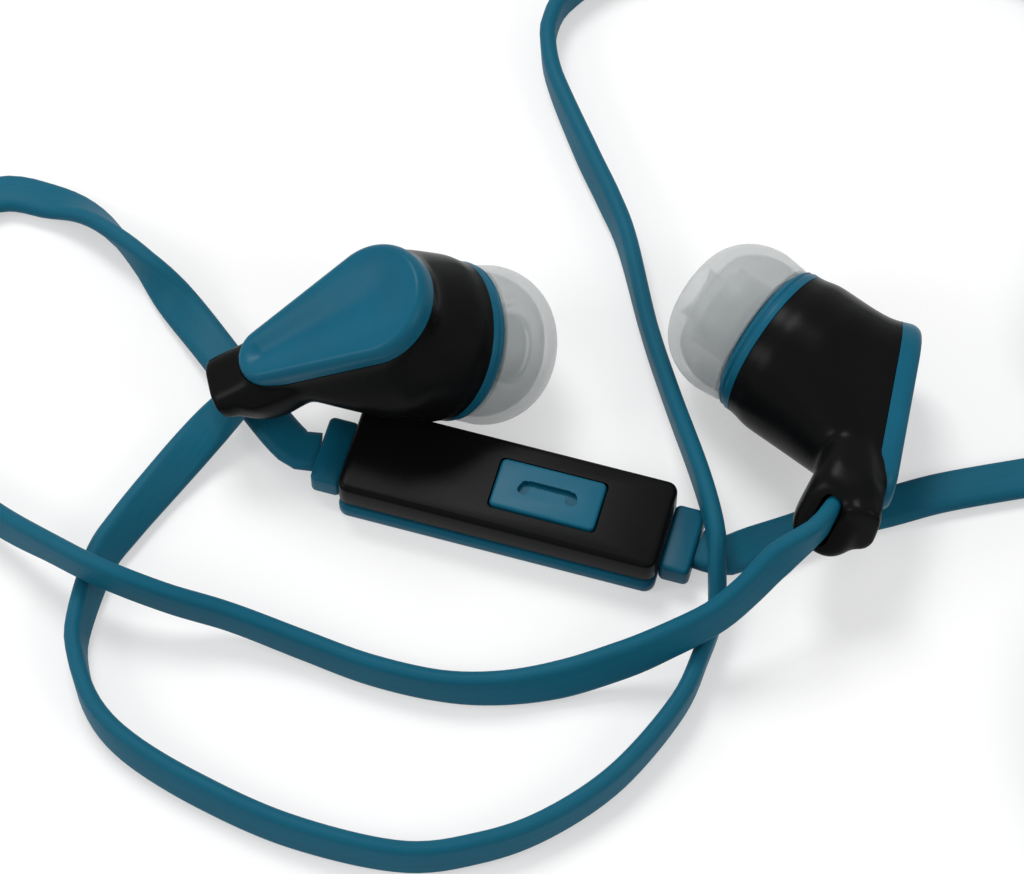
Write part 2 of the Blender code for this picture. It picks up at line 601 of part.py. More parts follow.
def make_remote_shells(parent):
    """Blue base, black cover with the button's window, and the two cord stubs."""
    both_walls = 2 * REMOTE_WALL
    base = block(
        "remote_base", REMOTE_LENGTH, BASE_WIDTH,
        [(0, REMOTE_EDGE), (REMOTE_EDGE, 0), (BASE_HEIGHT, 0)], REMOTE_CORNER, "blue_plastic", parent,
    )
    pocket = block(
        "base_pocket", REMOTE_LENGTH - both_walls, COVER_WIDTH - both_walls,
        [(BASE_FLOOR, 0), (BASE_HEIGHT + BASE_FLOOR, 0)], REMOTE_CORNER / 2, None, parent,
    )
    combine(base, pocket, "DIFFERENCE")
    port = turned(
        "mic_port", [(0, BASE_HEIGHT), (MIC_PORT_RADIUS, BASE_HEIGHT),
                     (MIC_PORT_RADIUS, -BASE_HEIGHT), (0, -BASE_HEIGHT)], None, parent, closed=False,
    )
    port.location.x = MIC_OFFSET
    combine(base, port, "DIFFERENCE")
    cover = block(
        "remote_cover", REMOTE_LENGTH, COVER_WIDTH,
        [(COVER_BOTTOM, 0), (COVER_TOP - REMOTE_EDGE, 0), (COVER_TOP, REMOTE_EDGE)],
        REMOTE_CORNER, "black_plastic", parent,
    )
    hollow = block(
        "cover_hollow", REMOTE_LENGTH - both_walls, COVER_WIDTH - both_walls,
        [(COVER_BOTTOM - BASE_FLOOR, 0), (ROOF_UNDER, 0)], REMOTE_CORNER / 2, None, parent,
    )
    combine(cover, hollow, "DIFFERENCE")
    window = block(
        "button_window", BUTTON_LENGTH + 2 * BUTTON_CLEARANCE, BUTTON_WIDTH + 2 * BUTTON_CLEARANCE,
        [(FLANGE_TOP, 0), (COVER_TOP + COVER_ROOF, 0)], REMOTE_CORNER / 2, None, parent, (BUTTON_OFFSET, 0),
    )
    combine(cover, window, "DIFFERENCE")
    for name, sign in (("left", -1), ("right", 1)):
        middle = sign * (REMOTE_LENGTH / 2 + FIT_GAP + STUB_LENGTH / 2)
        low = CORD_LEVEL - STUB_HEIGHT / 2
        block(
            f"remote_stub_{name}", STUB_LENGTH, STUB_WIDTH,
            [(low, REMOTE_EDGE), (low + REMOTE_EDGE, 0), (low + STUB_HEIGHT - REMOTE_EDGE, 0),
             (low + STUB_HEIGHT, REMOTE_EDGE)],
            REMOTE_EDGE, "blue_plastic", parent, (middle, 0),
        )


def make_call_button(parent):
    """Blue call button on an empty at the middle of its top face."""
    top = COVER_TOP + BUTTON_PROUD
    axis = holder("button_axis", Matrix.Translation((BUTTON_OFFSET, 0, top)))
    axis.parent = parent
    flange = BUTTON_FLANGE
    block(
        "call_button", BUTTON_LENGTH, BUTTON_WIDTH,
        [(FLANGE_BOTTOM - top, -flange), (FLANGE_TOP - top, -flange), (FLANGE_TOP - top, 0),
         (-BUTTON_PROUD, 0), (0, BUTTON_PROUD)],
        REMOTE_CORNER / 2, "blue_plastic", axis,
    )


def make_remote_inside(parent):
    """Circuit board, tactile switch with its plunger, and the microphone."""
    margin = 2 * (REMOTE_WALL + BOARD_MARGIN)
    block(
        "remote_board", REMOTE_LENGTH - margin, COVER_WIDTH - margin,
        [(BOARD_BOTTOM, 0), (BOARD_BOTTOM + BOARD_THICKNESS, 0)], REMOTE_CORNER / 2, "board", parent,
    )
    block(
        "switch_body", SWITCH_SIDE, SWITCH_SIDE,
        [(SWITCH_BOTTOM, 0), (SWITCH_BOTTOM + SWITCH_HEIGHT, 0)], 0.3 * MM, "steel", parent,
        (BUTTON_OFFSET, 0),
    )
    plunger = turned(
        "switch_plunger",
        [(0, PLUNGER_TOP), (PLUNGER_RADIUS, PLUNGER_TOP),
         (PLUNGER_RADIUS, PLUNGER_TOP - PLUNGER_HEIGHT), (0, PLUNGER_TOP - PLUNGER_HEIGHT)],
        "dark_rubber", parent, closed=False,
    )
    plunger.location.x = BUTTON_OFFSET
    mic = turned(
        "mic_capsule",
        [(0, SWITCH_BOTTOM + MIC_HEIGHT), (MIC_RADIUS, SWITCH_BOTTOM + MIC_HEIGHT),
         (MIC_RADIUS, SWITCH_BOTTOM), (0, SWITCH_BOTTOM)],
        "steel", parent, closed=False,
    )
    mic.location.x = MIC_OFFSET


def remote_matrix():
    """The remote lies flat on the surface, turned about the origin."""
    return Matrix.Rotation(REMOTE_ANGLE, 4, "Z")


def splitter_matrix():
    """The Y splitter lies beside the view, in line with the right branch."""
    place = Matrix.Translation((SPLITTER_CENTRE[0], SPLITTER_CENTRE[1], SPLITTER_LEVEL))
    return place @ Matrix.Rotation(SPLITTER_ANGLE, 4, "Z")


def make_splitter():
    """Blue Y splitter where the two branches join the main cord."""
    parent = holder("splitter", splitter_matrix())
    half = SPLITTER_HEIGHT / 2
    edge = half * 0.5
    block(
        "splitter_body", SPLITTER_LENGTH, SPLITTER_WIDTH,
        [(-half, edge), (-half + edge, 0), (half - edge, 0), (half, edge)],
        REMOTE_CORNER, "blue_plastic", parent,
    )


def coil_matrix():
    """The coil's axis stands upright on the surface."""
    return Matrix.Translation((COIL_CENTRE[0], COIL_CENTRE[1], 0))


def make_coil():
    """Outer shape of the wound main cord, and the tie round it."""
    parent = holder("coil", coil_matrix())
    turned(
        "main_cord_coil",
        [
            (RING_OUTER, COIL_TOP), (RING_OUTER, COIL_BOTTOM),
            (RING_INNER, COIL_BOTTOM), (RING_INNER, COIL_TOP),
        ],
        "cord_blue", parent,
    )
    tie_holder = holder("tie", coil_matrix() @ Matrix.Rotation(TIE_ANGLE, 4, "Z"))
    bow = RING_OUTER - math.sqrt(RING_OUTER**2 - (TIE_WIDTH / 2) ** 2)
    reach_out = RING_OUTER + FIT_GAP
    reach_in = RING_INNER - FIT_GAP - bow
    outer = [(reach_in - TIE_THICKNESS, 0), (reach_out + TIE_THICKNESS, 0),
             (reach_out + TIE_THICKNESS, COIL_TOP + FIT_GAP + TIE_THICKNESS),
             (reach_in - TIE_THICKNESS, COIL_TOP + FIT_GAP + TIE_THICKNESS)]
    inner = [(reach_in, TIE_THICKNESS), (reach_out, TIE_THICKNESS),
             (reach_out, COIL_TOP + FIT_GAP), (reach_in, COIL_TOP + FIT_GAP)]
    half = TIE_WIDTH / 2
    bm = bmesh.new()
    corners = {}
    for side in (-half, half):
        corners[side] = [[bm.verts.new((x, side, z)) for x, z in loop] for loop in (outer, inner)]
    for i in range(4):
        j = (i + 1) % 4
        for side in (-half, half):
            big, small = corners[side]
            bm.faces.new((big[i], big[j], small[j], small[i]))
        for loop in (0, 1):
            near, far = corners[-half][loop], corners[half][loop]
            bm.faces.new((near[i], near[j], far[j], far[i]))
    finish(bm, "coil_tie", "dark_rubber", tie_holder, smooth=False)


def plug_matrix():
    """The plug's frame: +Z runs from the cord to the contact tip."""
    end = TAIL_START - TAIL_SWEEP
    heading = Vector((math.sin(end), -math.cos(end), 0))
    place = Vector((COIL_CENTRE[0], COIL_CENTRE[1], PLUG_LEVEL))
    place += TAIL_RADIUS * Vector((math.cos(end), math.sin(end), 0))
    place += (TAIL_LEAD + FIT_GAP) * heading
    across = Vector((0, 0, 1)).cross(heading)
    turn = Matrix((across, heading.cross(across), heading)).transposed().to_4x4()
    return Matrix.Translation(place) @ turn


def make_plug():
    """3.5 mm four-contact plug: boot, grip, sleeve, rings, tip and insulator core."""
    parent = holder("plug", plug_matrix())
    turned(
        "plug_boot",
        [(0, 0), (BOOT_RADIUS * 0.8, 0), (BOOT_RADIUS, BOOT_LENGTH), (0, BOOT_LENGTH)][::-1],
        "blue_plastic", parent, closed=False,
    )
    start = BOOT_LENGTH + FIT_GAP
    end = start + GRIP_LENGTH
    edge = GRIP_RADIUS * 0.2
    turned(
        "plug_grip",
        [(0, end), (GRIP_RADIUS - edge, end), (GRIP_RADIUS, end - edge), (GRIP_RADIUS, start + edge),
         (GRIP_RADIUS - edge, start), (0, start)],
        "black_plastic", parent, closed=False,
    )
    bore = JACK_RADIUS - JACK_WALL
    level = end + FIT_GAP
    core = [(0, level), (JACK_CORE, level)]
    for name, length in (("plug_sleeve", SLEEVE_LENGTH), ("plug_ring_lower", RING_LENGTH),
                         ("plug_ring_upper", RING_LENGTH)):
        top = level + length
        turned(name, [(JACK_RADIUS, top), (JACK_RADIUS, level), (bore, level), (bore, top)], "gold", parent)
        flange = top + JACK_CLEARANCE
        core += [(JACK_CORE, flange), (JACK_RADIUS, flange), (JACK_RADIUS, flange + INSULATOR_LENGTH),
                 (JACK_CORE, flange + INSULATOR_LENGTH)]
        level = flange + INSULATOR_LENGTH + JACK_CLEARANCE
    pin_end = level + RING_LENGTH / 2
    core += [(JACK_CORE, pin_end), (0, pin_end)]
    turned("plug_insulator", core[::-1], "dark_rubber", parent, closed=False)
    peak = level + TIP_CONTACT_LENGTH
    socket = pin_end + JACK_CLEARANCE
    turned(
        "plug_tip",
        [(0, peak), (JACK_RADIUS * 0.3, peak), (JACK_RADIUS, peak - RING_LENGTH * 0.6),
         (JACK_RADIUS * 0.62, peak - RING_LENGTH), (JACK_RADIUS, level + RING_LENGTH * 0.3),
         (JACK_RADIUS, level), (bore, level), (bore, socket), (0, socket)],
        "gold", parent, closed=False,
    )


def smooth_route(points):
    """Points and rolls at even steps along a smooth curve through a route."""
    knots = [Vector(p[:3]) for p in points]
    rolls = [p[3] for p in points]
    ends = [2 * knots[0] - knots[1]] + knots + [2 * knots[-1] - knots[-2]]
    fine = []
    for i in range(len(knots) - 1):
        p0, p1, p2, p3 = ends[i:i + 4]
        for k in range(20):
            t = k / 20
            place = 0.5 * (2 * p1 + (p2 - p0) * t + (2 * p0 - 5 * p1 + 4 * p2 - p3) * t**2
                           + (3 * p1 - p0 - 3 * p2 + p3) * t**3)
            fine.append((place, rolls[i] + (rolls[i + 1] - rolls[i]) * t))
    fine.append((knots[-1], rolls[-1]))
    total = sum((b[0] - a[0]).length for a, b in zip(fine, fine[1:]))
    count = max(4, round(total / CORD_STEP))
    chosen = [fine[0]]
    travelled = 0.0
    for a, b in zip(fine, fine[1:]):
        travelled += (b[0] - a[0]).length
        if travelled >= len(chosen) * total / count and len(chosen) < count:
            chosen.append(b)
    chosen.append(fine[-1])
    return chosen


def make_cord(name, points):
    """A flat cord: a poly curve, extruded and rounded, with filled ends."""
    curve = bpy.data.curves.new(name, "CURVE")
    curve.dimensions = "3D"
    curve.twist_mode = "Z_UP"
    curve.bevel_depth = CORD_THICKNESS / 2
    curve.extrude = (CORD_WIDTH - CORD_THICKNESS) / 2
    curve.bevel_resolution = 1
    curve.use_fill_caps = True
    route = smooth_route(points)
    spline = curve.splines.new("POLY")
    spline.points.add(len(route) - 1)
    for target, (place, roll) in zip(spline.points, route):
        target.co = (*place, 1)
        target.tilt = math.radians(roll)
    curve.materials.append(material_for(name, "cord_blue"))
    cord = bpy.data.objects.new(name, curve)
    bpy.context.scene.collection.objects.link(cord)


def metres(route):
    """A route from millimetres to metres, rolls kept."""
    return [(x * MM, y * MM, z * MM, roll) for x, y, z, roll in route]


def stem_run(side):
    """The cord's first points, from its anchor to just outside the stem, rolled to suit the channel."""
    pose = earpiece_matrix(side)
    ahead = pose.to_3x3() @ EXIT_DIRECTION
    across = pose.to_3x3() @ Vector((1, 0, 0))
    beside = ahead.cross(Vector((0, 0, 1))).normalized()
    over = beside.cross(ahead)
    roll = math.degrees(math.atan2(across.dot(beside), across.dot(over)))
    if roll < -45:
        roll += 180
    distances = (CORD_START, CORD_START / 2, EXIT_RUN)
    return [(*(pose @ (MOUTH + distance * EXIT_DIRECTION)), roll) for distance in distances]


def straight_end(matrix, x, y, z, roll):
    """A cord's last two points before a stub or the splitter, in world space."""
    away = math.copysign(CORD_STRAIGHT, x)
    return [(*(matrix @ Vector((x + step, y, z))), roll) for step in (away, 0.0)]


def make_cords():
    """The two branches in three runs, and the main cord's lead and tail."""
    splitter_end = SPLITTER_LENGTH / 2 + FIT_GAP
    split = splitter_matrix()
    remote = remote_matrix()
    stub_end = STUB_FAR + FIT_GAP
    branch_left = straight_end(split, -splitter_end, BRANCH_OFFSET, 0, 90)
    branch_right = straight_end(split, -splitter_end, -BRANCH_OFFSET, 0, 90)
    into_remote = straight_end(remote, -stub_end, 0, CORD_LEVEL, -90)
    from_remote = straight_end(remote, stub_end, 0, CORD_LEVEL, 90)[::-1]
    main_start = straight_end(split, splitter_end, 0, 0, 90)[::-1]
    make_cord("cord_left", stem_run("left") + metres(LEFT_ROUTE) + branch_left)
    make_cord("cord_right_upper", stem_run("right") + metres(RIGHT_UPPER_ROUTE) + into_remote)
    make_cord("cord_right_lower", from_remote + metres(RIGHT_LOWER_ROUTE) + branch_right)
    make_cord("main_cord_lead", main_start + metres(MAIN_LEAD_ROUTE))
    tail = []
    steps = 8
    for i in range(steps + 1):
        angle = TAIL_START - TAIL_SWEEP * i / steps
        level = COIL_LEVEL + (PLUG_LEVEL - COIL_LEVEL) * i / steps
        tail.append((COIL_CENTRE[0] + TAIL_RADIUS * math.cos(angle),
                     COIL_CENTRE[1] + TAIL_RADIUS * math.sin(angle), level, 0))
    end = TAIL_START - TAIL_SWEEP
    x, y, level, _ = tail[-1]
    tail.append((x + TAIL_LEAD * math.sin(end), y - TAIL_LEAD * math.cos(end), level, 0))
    make_cord("main_cord_tail", tail)


def main():
    """Build the whole set."""
    clear_scene()
    for side in EARPIECES:
        make_earpiece(side)
    remote = holder("remote", remote_matrix())
    make_remote_shells(remote)
    make_call_button(remote)
    make_remote_inside(remote)
    make_splitter()
    make_coil()
    make_plug()
    make_cords()


main()
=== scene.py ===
import json
import math

import bpy
from mathutils import Matrix, Vector

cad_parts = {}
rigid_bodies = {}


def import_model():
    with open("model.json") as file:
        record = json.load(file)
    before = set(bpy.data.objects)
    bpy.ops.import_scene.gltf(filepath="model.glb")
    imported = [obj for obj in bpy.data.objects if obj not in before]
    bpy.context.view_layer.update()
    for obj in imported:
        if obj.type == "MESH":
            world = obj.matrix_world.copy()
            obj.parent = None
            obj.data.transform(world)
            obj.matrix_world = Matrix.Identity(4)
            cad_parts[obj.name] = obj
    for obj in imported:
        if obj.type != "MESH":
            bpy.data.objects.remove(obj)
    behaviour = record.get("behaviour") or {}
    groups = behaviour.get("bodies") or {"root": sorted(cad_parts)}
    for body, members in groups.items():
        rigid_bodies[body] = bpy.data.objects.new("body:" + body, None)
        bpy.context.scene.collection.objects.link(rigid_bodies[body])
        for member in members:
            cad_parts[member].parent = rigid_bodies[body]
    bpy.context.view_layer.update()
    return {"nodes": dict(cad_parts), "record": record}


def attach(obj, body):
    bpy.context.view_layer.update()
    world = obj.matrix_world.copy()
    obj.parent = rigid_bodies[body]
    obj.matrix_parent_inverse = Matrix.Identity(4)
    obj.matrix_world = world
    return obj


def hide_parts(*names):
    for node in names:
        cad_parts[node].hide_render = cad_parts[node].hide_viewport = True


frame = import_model()

bl_info = {
    "name": "Flat-cord earphones",
    "version": (1, 0, 0),
    "blender": (4, 5, 0),
    "location": "View3D > Sidebar > Earphones",
    "description": "Dresses wired in-ear earphones with a flat cord and an in-line remote",
    "category": "Object",
}

MM = 0.001
RING_POINTS = 96

# Clearance kept between pieces, and the hairline seam round a cap.
GAP = 0.3 * MM
SEAM = 0.06 * MM

# Camera, with the photograph's width and focal length in pixels.
SENSOR_WIDTH = 36.0
PHOTO_WIDTH = 1024
FOCAL_PIXELS = 4340
CAMERA_PLACE = Vector((0.34, -157.65, 309.03)) * MM
CAMERA_TILT = math.radians(28.0)
NEAREST_SEEN = 0.01

# Earpiece, in a frame of its own with Z along the nozzle.
PLATE_TILT = math.radians(27.0)
STEM_WAY = Vector((0, -math.cos(PLATE_TILT), -math.sin(PLATE_TILT)))
PLATE_WAY = Vector((0, -math.sin(PLATE_TILT), math.cos(PLATE_TILT)))
CAP_CENTRE = Vector((0, 4.25, -9.82)) * MM
PLATE_FRONT = 1.8 * MM
BARREL_SHOULDER = -1.26 * MM
BARREL_END = -4.2 * MM
FLARE_LEAVE = 3.4 * MM
FLARE_ARRIVE = 2.0 * MM
FLARE_STEPS = 16
STEM_SLANT = 0.5
STEM_ROUND = 1.7 * MM
STEM_MIDDLE = PLATE_FRONT + 2.8 * MM
STEM_ROOT_DEPTH = 4.2 * MM
STEM_ROOT_SHARE = 0.25
STEM_NECK_SHARE = 0.6
STEM_END_SHARE = 0.3
STEM_END_INSET = STEM_ROUND * 0.45
CORNER_DIVISOR = 2.2
EXIT_LEAN = math.radians(25.0)
EXIT_WAY = math.cos(EXIT_LEAN) * STEM_WAY + math.sin(EXIT_LEAN) * PLATE_WAY
EXIT_ACROSS = math.cos(EXIT_LEAN) * PLATE_WAY - math.sin(EXIT_LEAN) * STEM_WAY
EXIT_OFFSET = 0.4 * MM
EXIT_RUN = 1.5 * MM
CHANNEL_DEPTH = 4.6 * MM
CHANNEL_ROUND = 0.7 * MM

# Body shell: the heel behind the cap, the blending, and the cuts that follow it.
HEEL_WIDTH = 5.2 * MM
HEEL_DEPTH = 3.2 * MM
HEEL_BACK = 0.75 * MM
HEEL_START = 10.5 * MM
HEEL_END = 15.9 * MM
HEEL_ROUND = 1.4 * MM
SPARE = 1.2 * MM
BLEND_VOXEL = 0.16 * MM
BLEND_PASSES = 70
FACE = 0.24 * MM
CUTTER_RADIUS = 12 * MM
CUTTER_TOP = 5 * MM
CUTTER_BACK = -3 * MM

# Softened edges of the turned pieces.
COLLAR_EDGE = 0.06 * MM
TIP_EDGE = 0.12 * MM
BOOT_EDGE = 0.15 * MM
GRIP_EDGE = 0.06 * MM

# Radius and height points in millimetres.
CAVITY_PROFILE = [(0, 4), (5.7, 4), (5.7, -3.9), (3.9, -3.9), (3.9, -5.5), (0, -5.5)]
BOOT_PROFILE = [(0, 5), (2.1, 5), (2.0, 3), (1.7, 0), (0, 0)]
GRIP_FRONT_PROFILE = [(0, 19.3), (2.2, 19.3), (2.75, 18.7)]
GRIP_BACK_PROFILE = [(2.8, 9.9), (2.8, 6.2), (2.3, 5.3), (0, 5.3)]
GRIP_RIB_PROFILE = [(2.8, 0.0), (2.8, 0.6), (2.6, 0.75), (2.6, 0.95)]
GRIP_RIBS = 6
GRIP_RIB_START = 17.4
GRIP_RIB_PITCH = 1.1

# Rear cap.
CAP_THICKNESS = PLATE_FRONT - SEAM
CAP_EDGE = 1.0 * MM
CAP_ROUND = 0.7 * MM
CAP_ROUND_POINTS = 13
DISH_DEPTH = 0.55 * MM
DISH_STEPS = 25

# Ear tip: levels are heights along the nozzle, and shares are of the size that they multiply.
TIP_BACK = 1.75 * MM
TIP_BORE = 2.9 * MM
TIP_SLEEVE = 3.5 * MM
TIP_WALL = 0.6 * MM
TIP_MOUTH_SHARE = 0.72
TIP_DOME_SHARE = 0.72
TIP_RIM_SHARE = 0.97
TIP_INNER_SHARE = 0.7
SLEEVE_BACK = 3.1 * MM
BORE_FRONT = 6.4 * MM
MOUTH_BACK = 6.7 * MM

# Remote, in its own frame with X along it and Z up from its underside.
REMOTE_POSE = Matrix.Rotation(math.radians(-16.0), 4, "Z")
BASE_WIDTH = 8.2 * MM
BASE_HEIGHT = 1.4 * MM
COVER_WIDTH = 7.9 * MM
COVER_BOTTOM = 1.7 * MM
COVER_TOP = 4.5 * MM
REMOTE_CORNER = 0.9 * MM
BASE_EDGE = 0.4 * MM
COVER_EDGE = 0.45 * MM
HOLLOW_WIDTH = 6.1 * MM
HOLLOW_CORNER = 0.45 * MM
HOLLOW_HEIGHT = 4 * MM
POCKET_LEVEL = 2.6 * MM
HOLLOW_LEVEL = 1.8 * MM
END_WALLS = 1.8 * MM
STUB_SIZE = (2.5 * MM, 5.9 * MM, 2.2 * MM)
STUB_OFFSET = 1.3 * MM
STUB_CORNER = 0.5 * MM
STUB_EDGE = 0.35 * MM
BUTTON_PLACE = 3.3 * MM
BUTTON_RISE = 0.25 * MM
BUTTON_HEIGHT = 1.45 * MM
BUTTON_CORNER = 0.45 * MM
BUTTON_EDGE = 0.2 * MM
FLANGE_BORDER = 1.2 * MM
FLANGE_HEIGHT = 0.5 * MM
FLANGE_LEVEL = 3.25 * MM
FLANGE_CORNER = 0.6 * MM
HANDLE_SIZE = (3.7 * MM, 0.55 * MM, MM)
HANDLE_OFFSET = 0.42 * MM
HANDLE_CORNER = 0.25 * MM
LOBE_SIZE = (0.95 * MM, 1.25 * MM, MM)
LOBE_OFFSET = 1.9 * MM
LOBE_CORNER = 0.4 * MM
LOBE_TURN = 22

# Cords, splitter, coil and plug. The coil's three radii are in millimetres.
CORD_LEVEL = 1.8 * MM
CORD_START = -2.4 * MM
CORD_STRAIGHT = 2.2 * MM
CORD_STEP = 0.8 * MM
CORD_ROUND_SHARE = 0.49
CURVE_STEPS = 40
RUN_SCALE = 20.0
STUB_CORD_END = 2.6 * MM
SPLITTER_CORD_END = 6.3 * MM
BRANCH_OFFSET = 1.95 * MM
SPLITTER_PLACE = (58.5 * MM, 6.6 * MM, 1.6 * MM)
SPLITTER_POSE = Matrix.Translation(SPLITTER_PLACE) @ Matrix.Rotation(math.radians(8), 4, "Z")
SPLITTER_SIZE = (12.5 * MM, 8.6 * MM, 2.6 * MM)
SPLITTER_CORNER = 1.4 * MM
SPLITTER_EDGE = 0.6 * MM
COIL_CENTRE = Vector((65.0, -21.0, 0.0)) * MM
COIL_LEVEL = 3.0 * MM
COIL_OUTER = 22.6
COIL_PITCH = 1.45
TAIL_INSET = 1.65
COIL_TURNS = 7 + 100 / 360
COIL_START = math.radians(70)
COIL_FIRST_STEP = 3
COIL_STEPS_PER_TURN = 30
TAIL_START = math.radians(-30.0)
TAIL_END = TAIL_START - math.pi
TAIL_RADIUS = (COIL_OUTER - COIL_PITCH * COIL_TURNS - TAIL_INSET) * MM
TAIL_FIRST_STEP = 2
TAIL_STEPS = 8
TAIL_STRAIGHT = 2.5 * MM
PLUG_LEVEL = 7.8 * MM
TIE_TURN = math.radians(20)
TIE_INNER = 10.6 * MM
TIE_OUTER = 23.6 * MM
TIE_TOP = 5.0 * MM
TIE_WIDTH = 6 * MM
TIE_CORNER = 0.9 * MM
TIE_EDGE = 0.15 * MM
TIE_OPENING_CORNER = 0.3 * MM

# Stage: lamps by place, size and power.
FLOOR_SIZE = 6.0
FLOOR_DROP = 0.02 * MM
FLOOR_TONE = 0.86
FLOOR_GLOW = 0.45
SURROUND_LIGHT = 0.5
LAMPS = {
    "overhead": ((-0.12, 0.30, 0.55), 0.22, 2.4),
    "left_fill": ((-0.5, -0.1, 0.35), 0.2, 1.0),
    "right_fill": ((0.45, -0.25, 0.4), 0.2, 0.8),
}

# Collar centre in millimetres, nozzle direction, sideways direction and hand of each earpiece.
EARPIECES = {
    "left": ((-4.95, 11.0, 8.25), (0.822, 0.183, -0.541), (-0.213, 0.977, 0.007), -1),
    "right": ((21.63, 11.09, 6.95), (-0.79, 0.61, 0.03), (0.17, 0.18, 0.97), 1),
}

# Cord routes in millimetres: x, y, z and roll in degrees, 0 on edge and 90 flat.
LEFT_ROUTE = [
    (-24.3, 5.9, 2.0, 80), (-27.6, 1.8, 1.5, 52), (-30.4, -2.2, 1.65, 38),
    (-32.2, -5.3, 1.7, 28), (-33.6, -10.7, 1.75, 16), (-33.6, -13.8, 1.75, 6),
    (-32.2, -18.0, 1.75, -2), (-29.3, -21.4, 1.75, -11), (-23.8, -25.0, 1.75, -15),
    (-16.6, -28.4, 1.75, -14), (-8.2, -30.5, 1.75, -10), (-2.2, -29.8, 1.75, -9),
    (3.0, -27.8, 1.75, -6), (8.4, -23.9, 1.75, -4), (13.1, -18.1, 1.8, 0), (15.1, -13.6, 1.8, 3),
    (16.3, -10.0, 2.2, 2), (16.4, -6.9, 4.2, 0), (16.3, -4.4, 5.2, 0), (15.3, 0.5, 4.7, 0),
    (13.2, 8.6, 2.9, -2), (11.5, 15.5, 1.85, -2), (9.8, 23.7, 1.8, 5), (8.4, 27.8, 1.8, 10),
    (6.5, 32.5, 1.8, 10), (4.0, 39.5, 1.75, -1), (3.4, 43.2, 1.75, -3), (3.6, 45.3, 1.75, 0),
    (4.8, 47.7, 1.75, 0), (8.5, 50.6, 1.75, 0), (15.0, 52.3, 1.75, 0), (25.0, 52.6, 1.75, 0),
    (35.0, 52.3, 1.75, 0), (44.5, 50.0, 1.75, 0), (49.0, 42.0, 1.75, 0), (49.2, 32.0, 1.75, 0),
    (47.0, 23.0, 1.75, 0), (45.2, 17.0, 1.75, 10), (45.2, 12.0, 1.7, 35), (46.6, 9.0, 1.6, 70),
]
RIGHT_UPPER_ROUTE = [
    (20.9, -8.9, 9.2, 22), (18.4, -10.9, 7.6, 16), (15.8, -12.4, 5.9, 16), (11.8, -13.8, 4.2, 22),
    (8.7, -14.6, 2.9, 28), (4.1, -15.7, 1.9, 28), (-0.6, -16.4, 1.8, 17), (-5.3, -16.2, 1.8, 9),
    (-10.8, -14.8, 1.8, 8), (-16.1, -12.7, 1.9, 6), (-21.6, -10.8, 2.8, 3), (-26.7, -9.8, 4.3, 3),
    (-31.8, -8.1, 5.3, 4), (-35.9, -5.6, 4.7, 4), (-40.1, -2.5, 3.2, 10), (-45.5, 2.0, 2.0, 18),
    (-50.3, 7.6, 1.8, 20), (-52.6, 14.0, 1.8, 20), (-51.6, 20.6, 1.7, 32), (-47.8, 26.0, 1.5, 56),
    (-42.1, 28.9, 1.0, 85), (-37.8, 28.2, 0.95, 78), (-34.7, 26.8, 1.4, 47),
    (-32.1, 24.4, 1.75, 18), (-29.5, 21.5, 1.75, -12), (-26.7, 18.1, 1.15, -68),
    (-24.0, 14.4, 1.2, -88), (-20.9, 9.8, 1.65, -90),
]
RIGHT_LOWER_ROUTE = [
    (19.4, -3.9, 1.4, 90), (22.3, -2.75, 1.1, 90), (26.2, -1.25, 0.9, 90), (30.3, -0.1, 0.8, 90),
    (34.7, 1.2, 0.8, 90), (41.3, 2.5, 0.8, 90), (46.0, 3.2, 1.0, 90),
]
MAIN_LEAD_ROUTE = [(70.9, 6.8, 2.2, 45), (73.6, 2.4, 2.9, 5)]


def length_property(name, description, millimetres):
    """A length that a user can change, in metres."""
    return bpy.props.FloatProperty(
        name=name, description=description, default=millimetres * MM, min=0.01 * MM,
        precision=5, unit="LENGTH", subtype="DISTANCE",
    )


def colour_property(name, description, default):
    """A linear colour that a user can change."""
    return bpy.props.FloatVectorProperty(
        name=name, description=description, default=default, size=3, min=0.0, max=1.0,
        subtype="COLOR",
    )


class EarphoneSizes(bpy.types.PropertyGroup):
    """Sizes of the earphones' visible pieces."""

    cord_width: length_property("Cord width", "Width of the flat cord", 3.4)
    cord_thickness: length_property("Cord thickness", "Thickness of the flat cord", 1.35)
    barrel_radius: length_property("Barrel radius", "Widest radius of the black barrel", 6.75)
    collar_radius: length_property("Collar radius", "Radius of the blue collar", 6.4)
    tip_radius: length_property("Tip radius", "Widest radius of the silicone tip", 6.4)
    tip_length: length_property("Tip length", "Length of the silicone tip", 6.8)
    stem_reach: length_property("Stem reach", "From the cap's centre to the stem's end", 15.6)
    stem_width: length_property("Stem width", "Width of the stem", 6.6)
    stem_depth: length_property("Stem depth", "Depth of the stem", 5.6)
    cap_big: length_property("Cap large radius", "Radius of the cap's round end", 4.8)
    cap_small: length_property("Cap small radius", "Radius of the cap's narrow end", 2.4)
    cap_span: length_property("Cap span", "Distance between the cap's two centres", 10.2)
    remote_length: length_property("Remote length", "Length of the remote's body", 26.1)
    button_length: length_property("Button length", "Length of the call button", 8.6)
    button_width: length_property("Button width", "Width of the call button", 4.3)


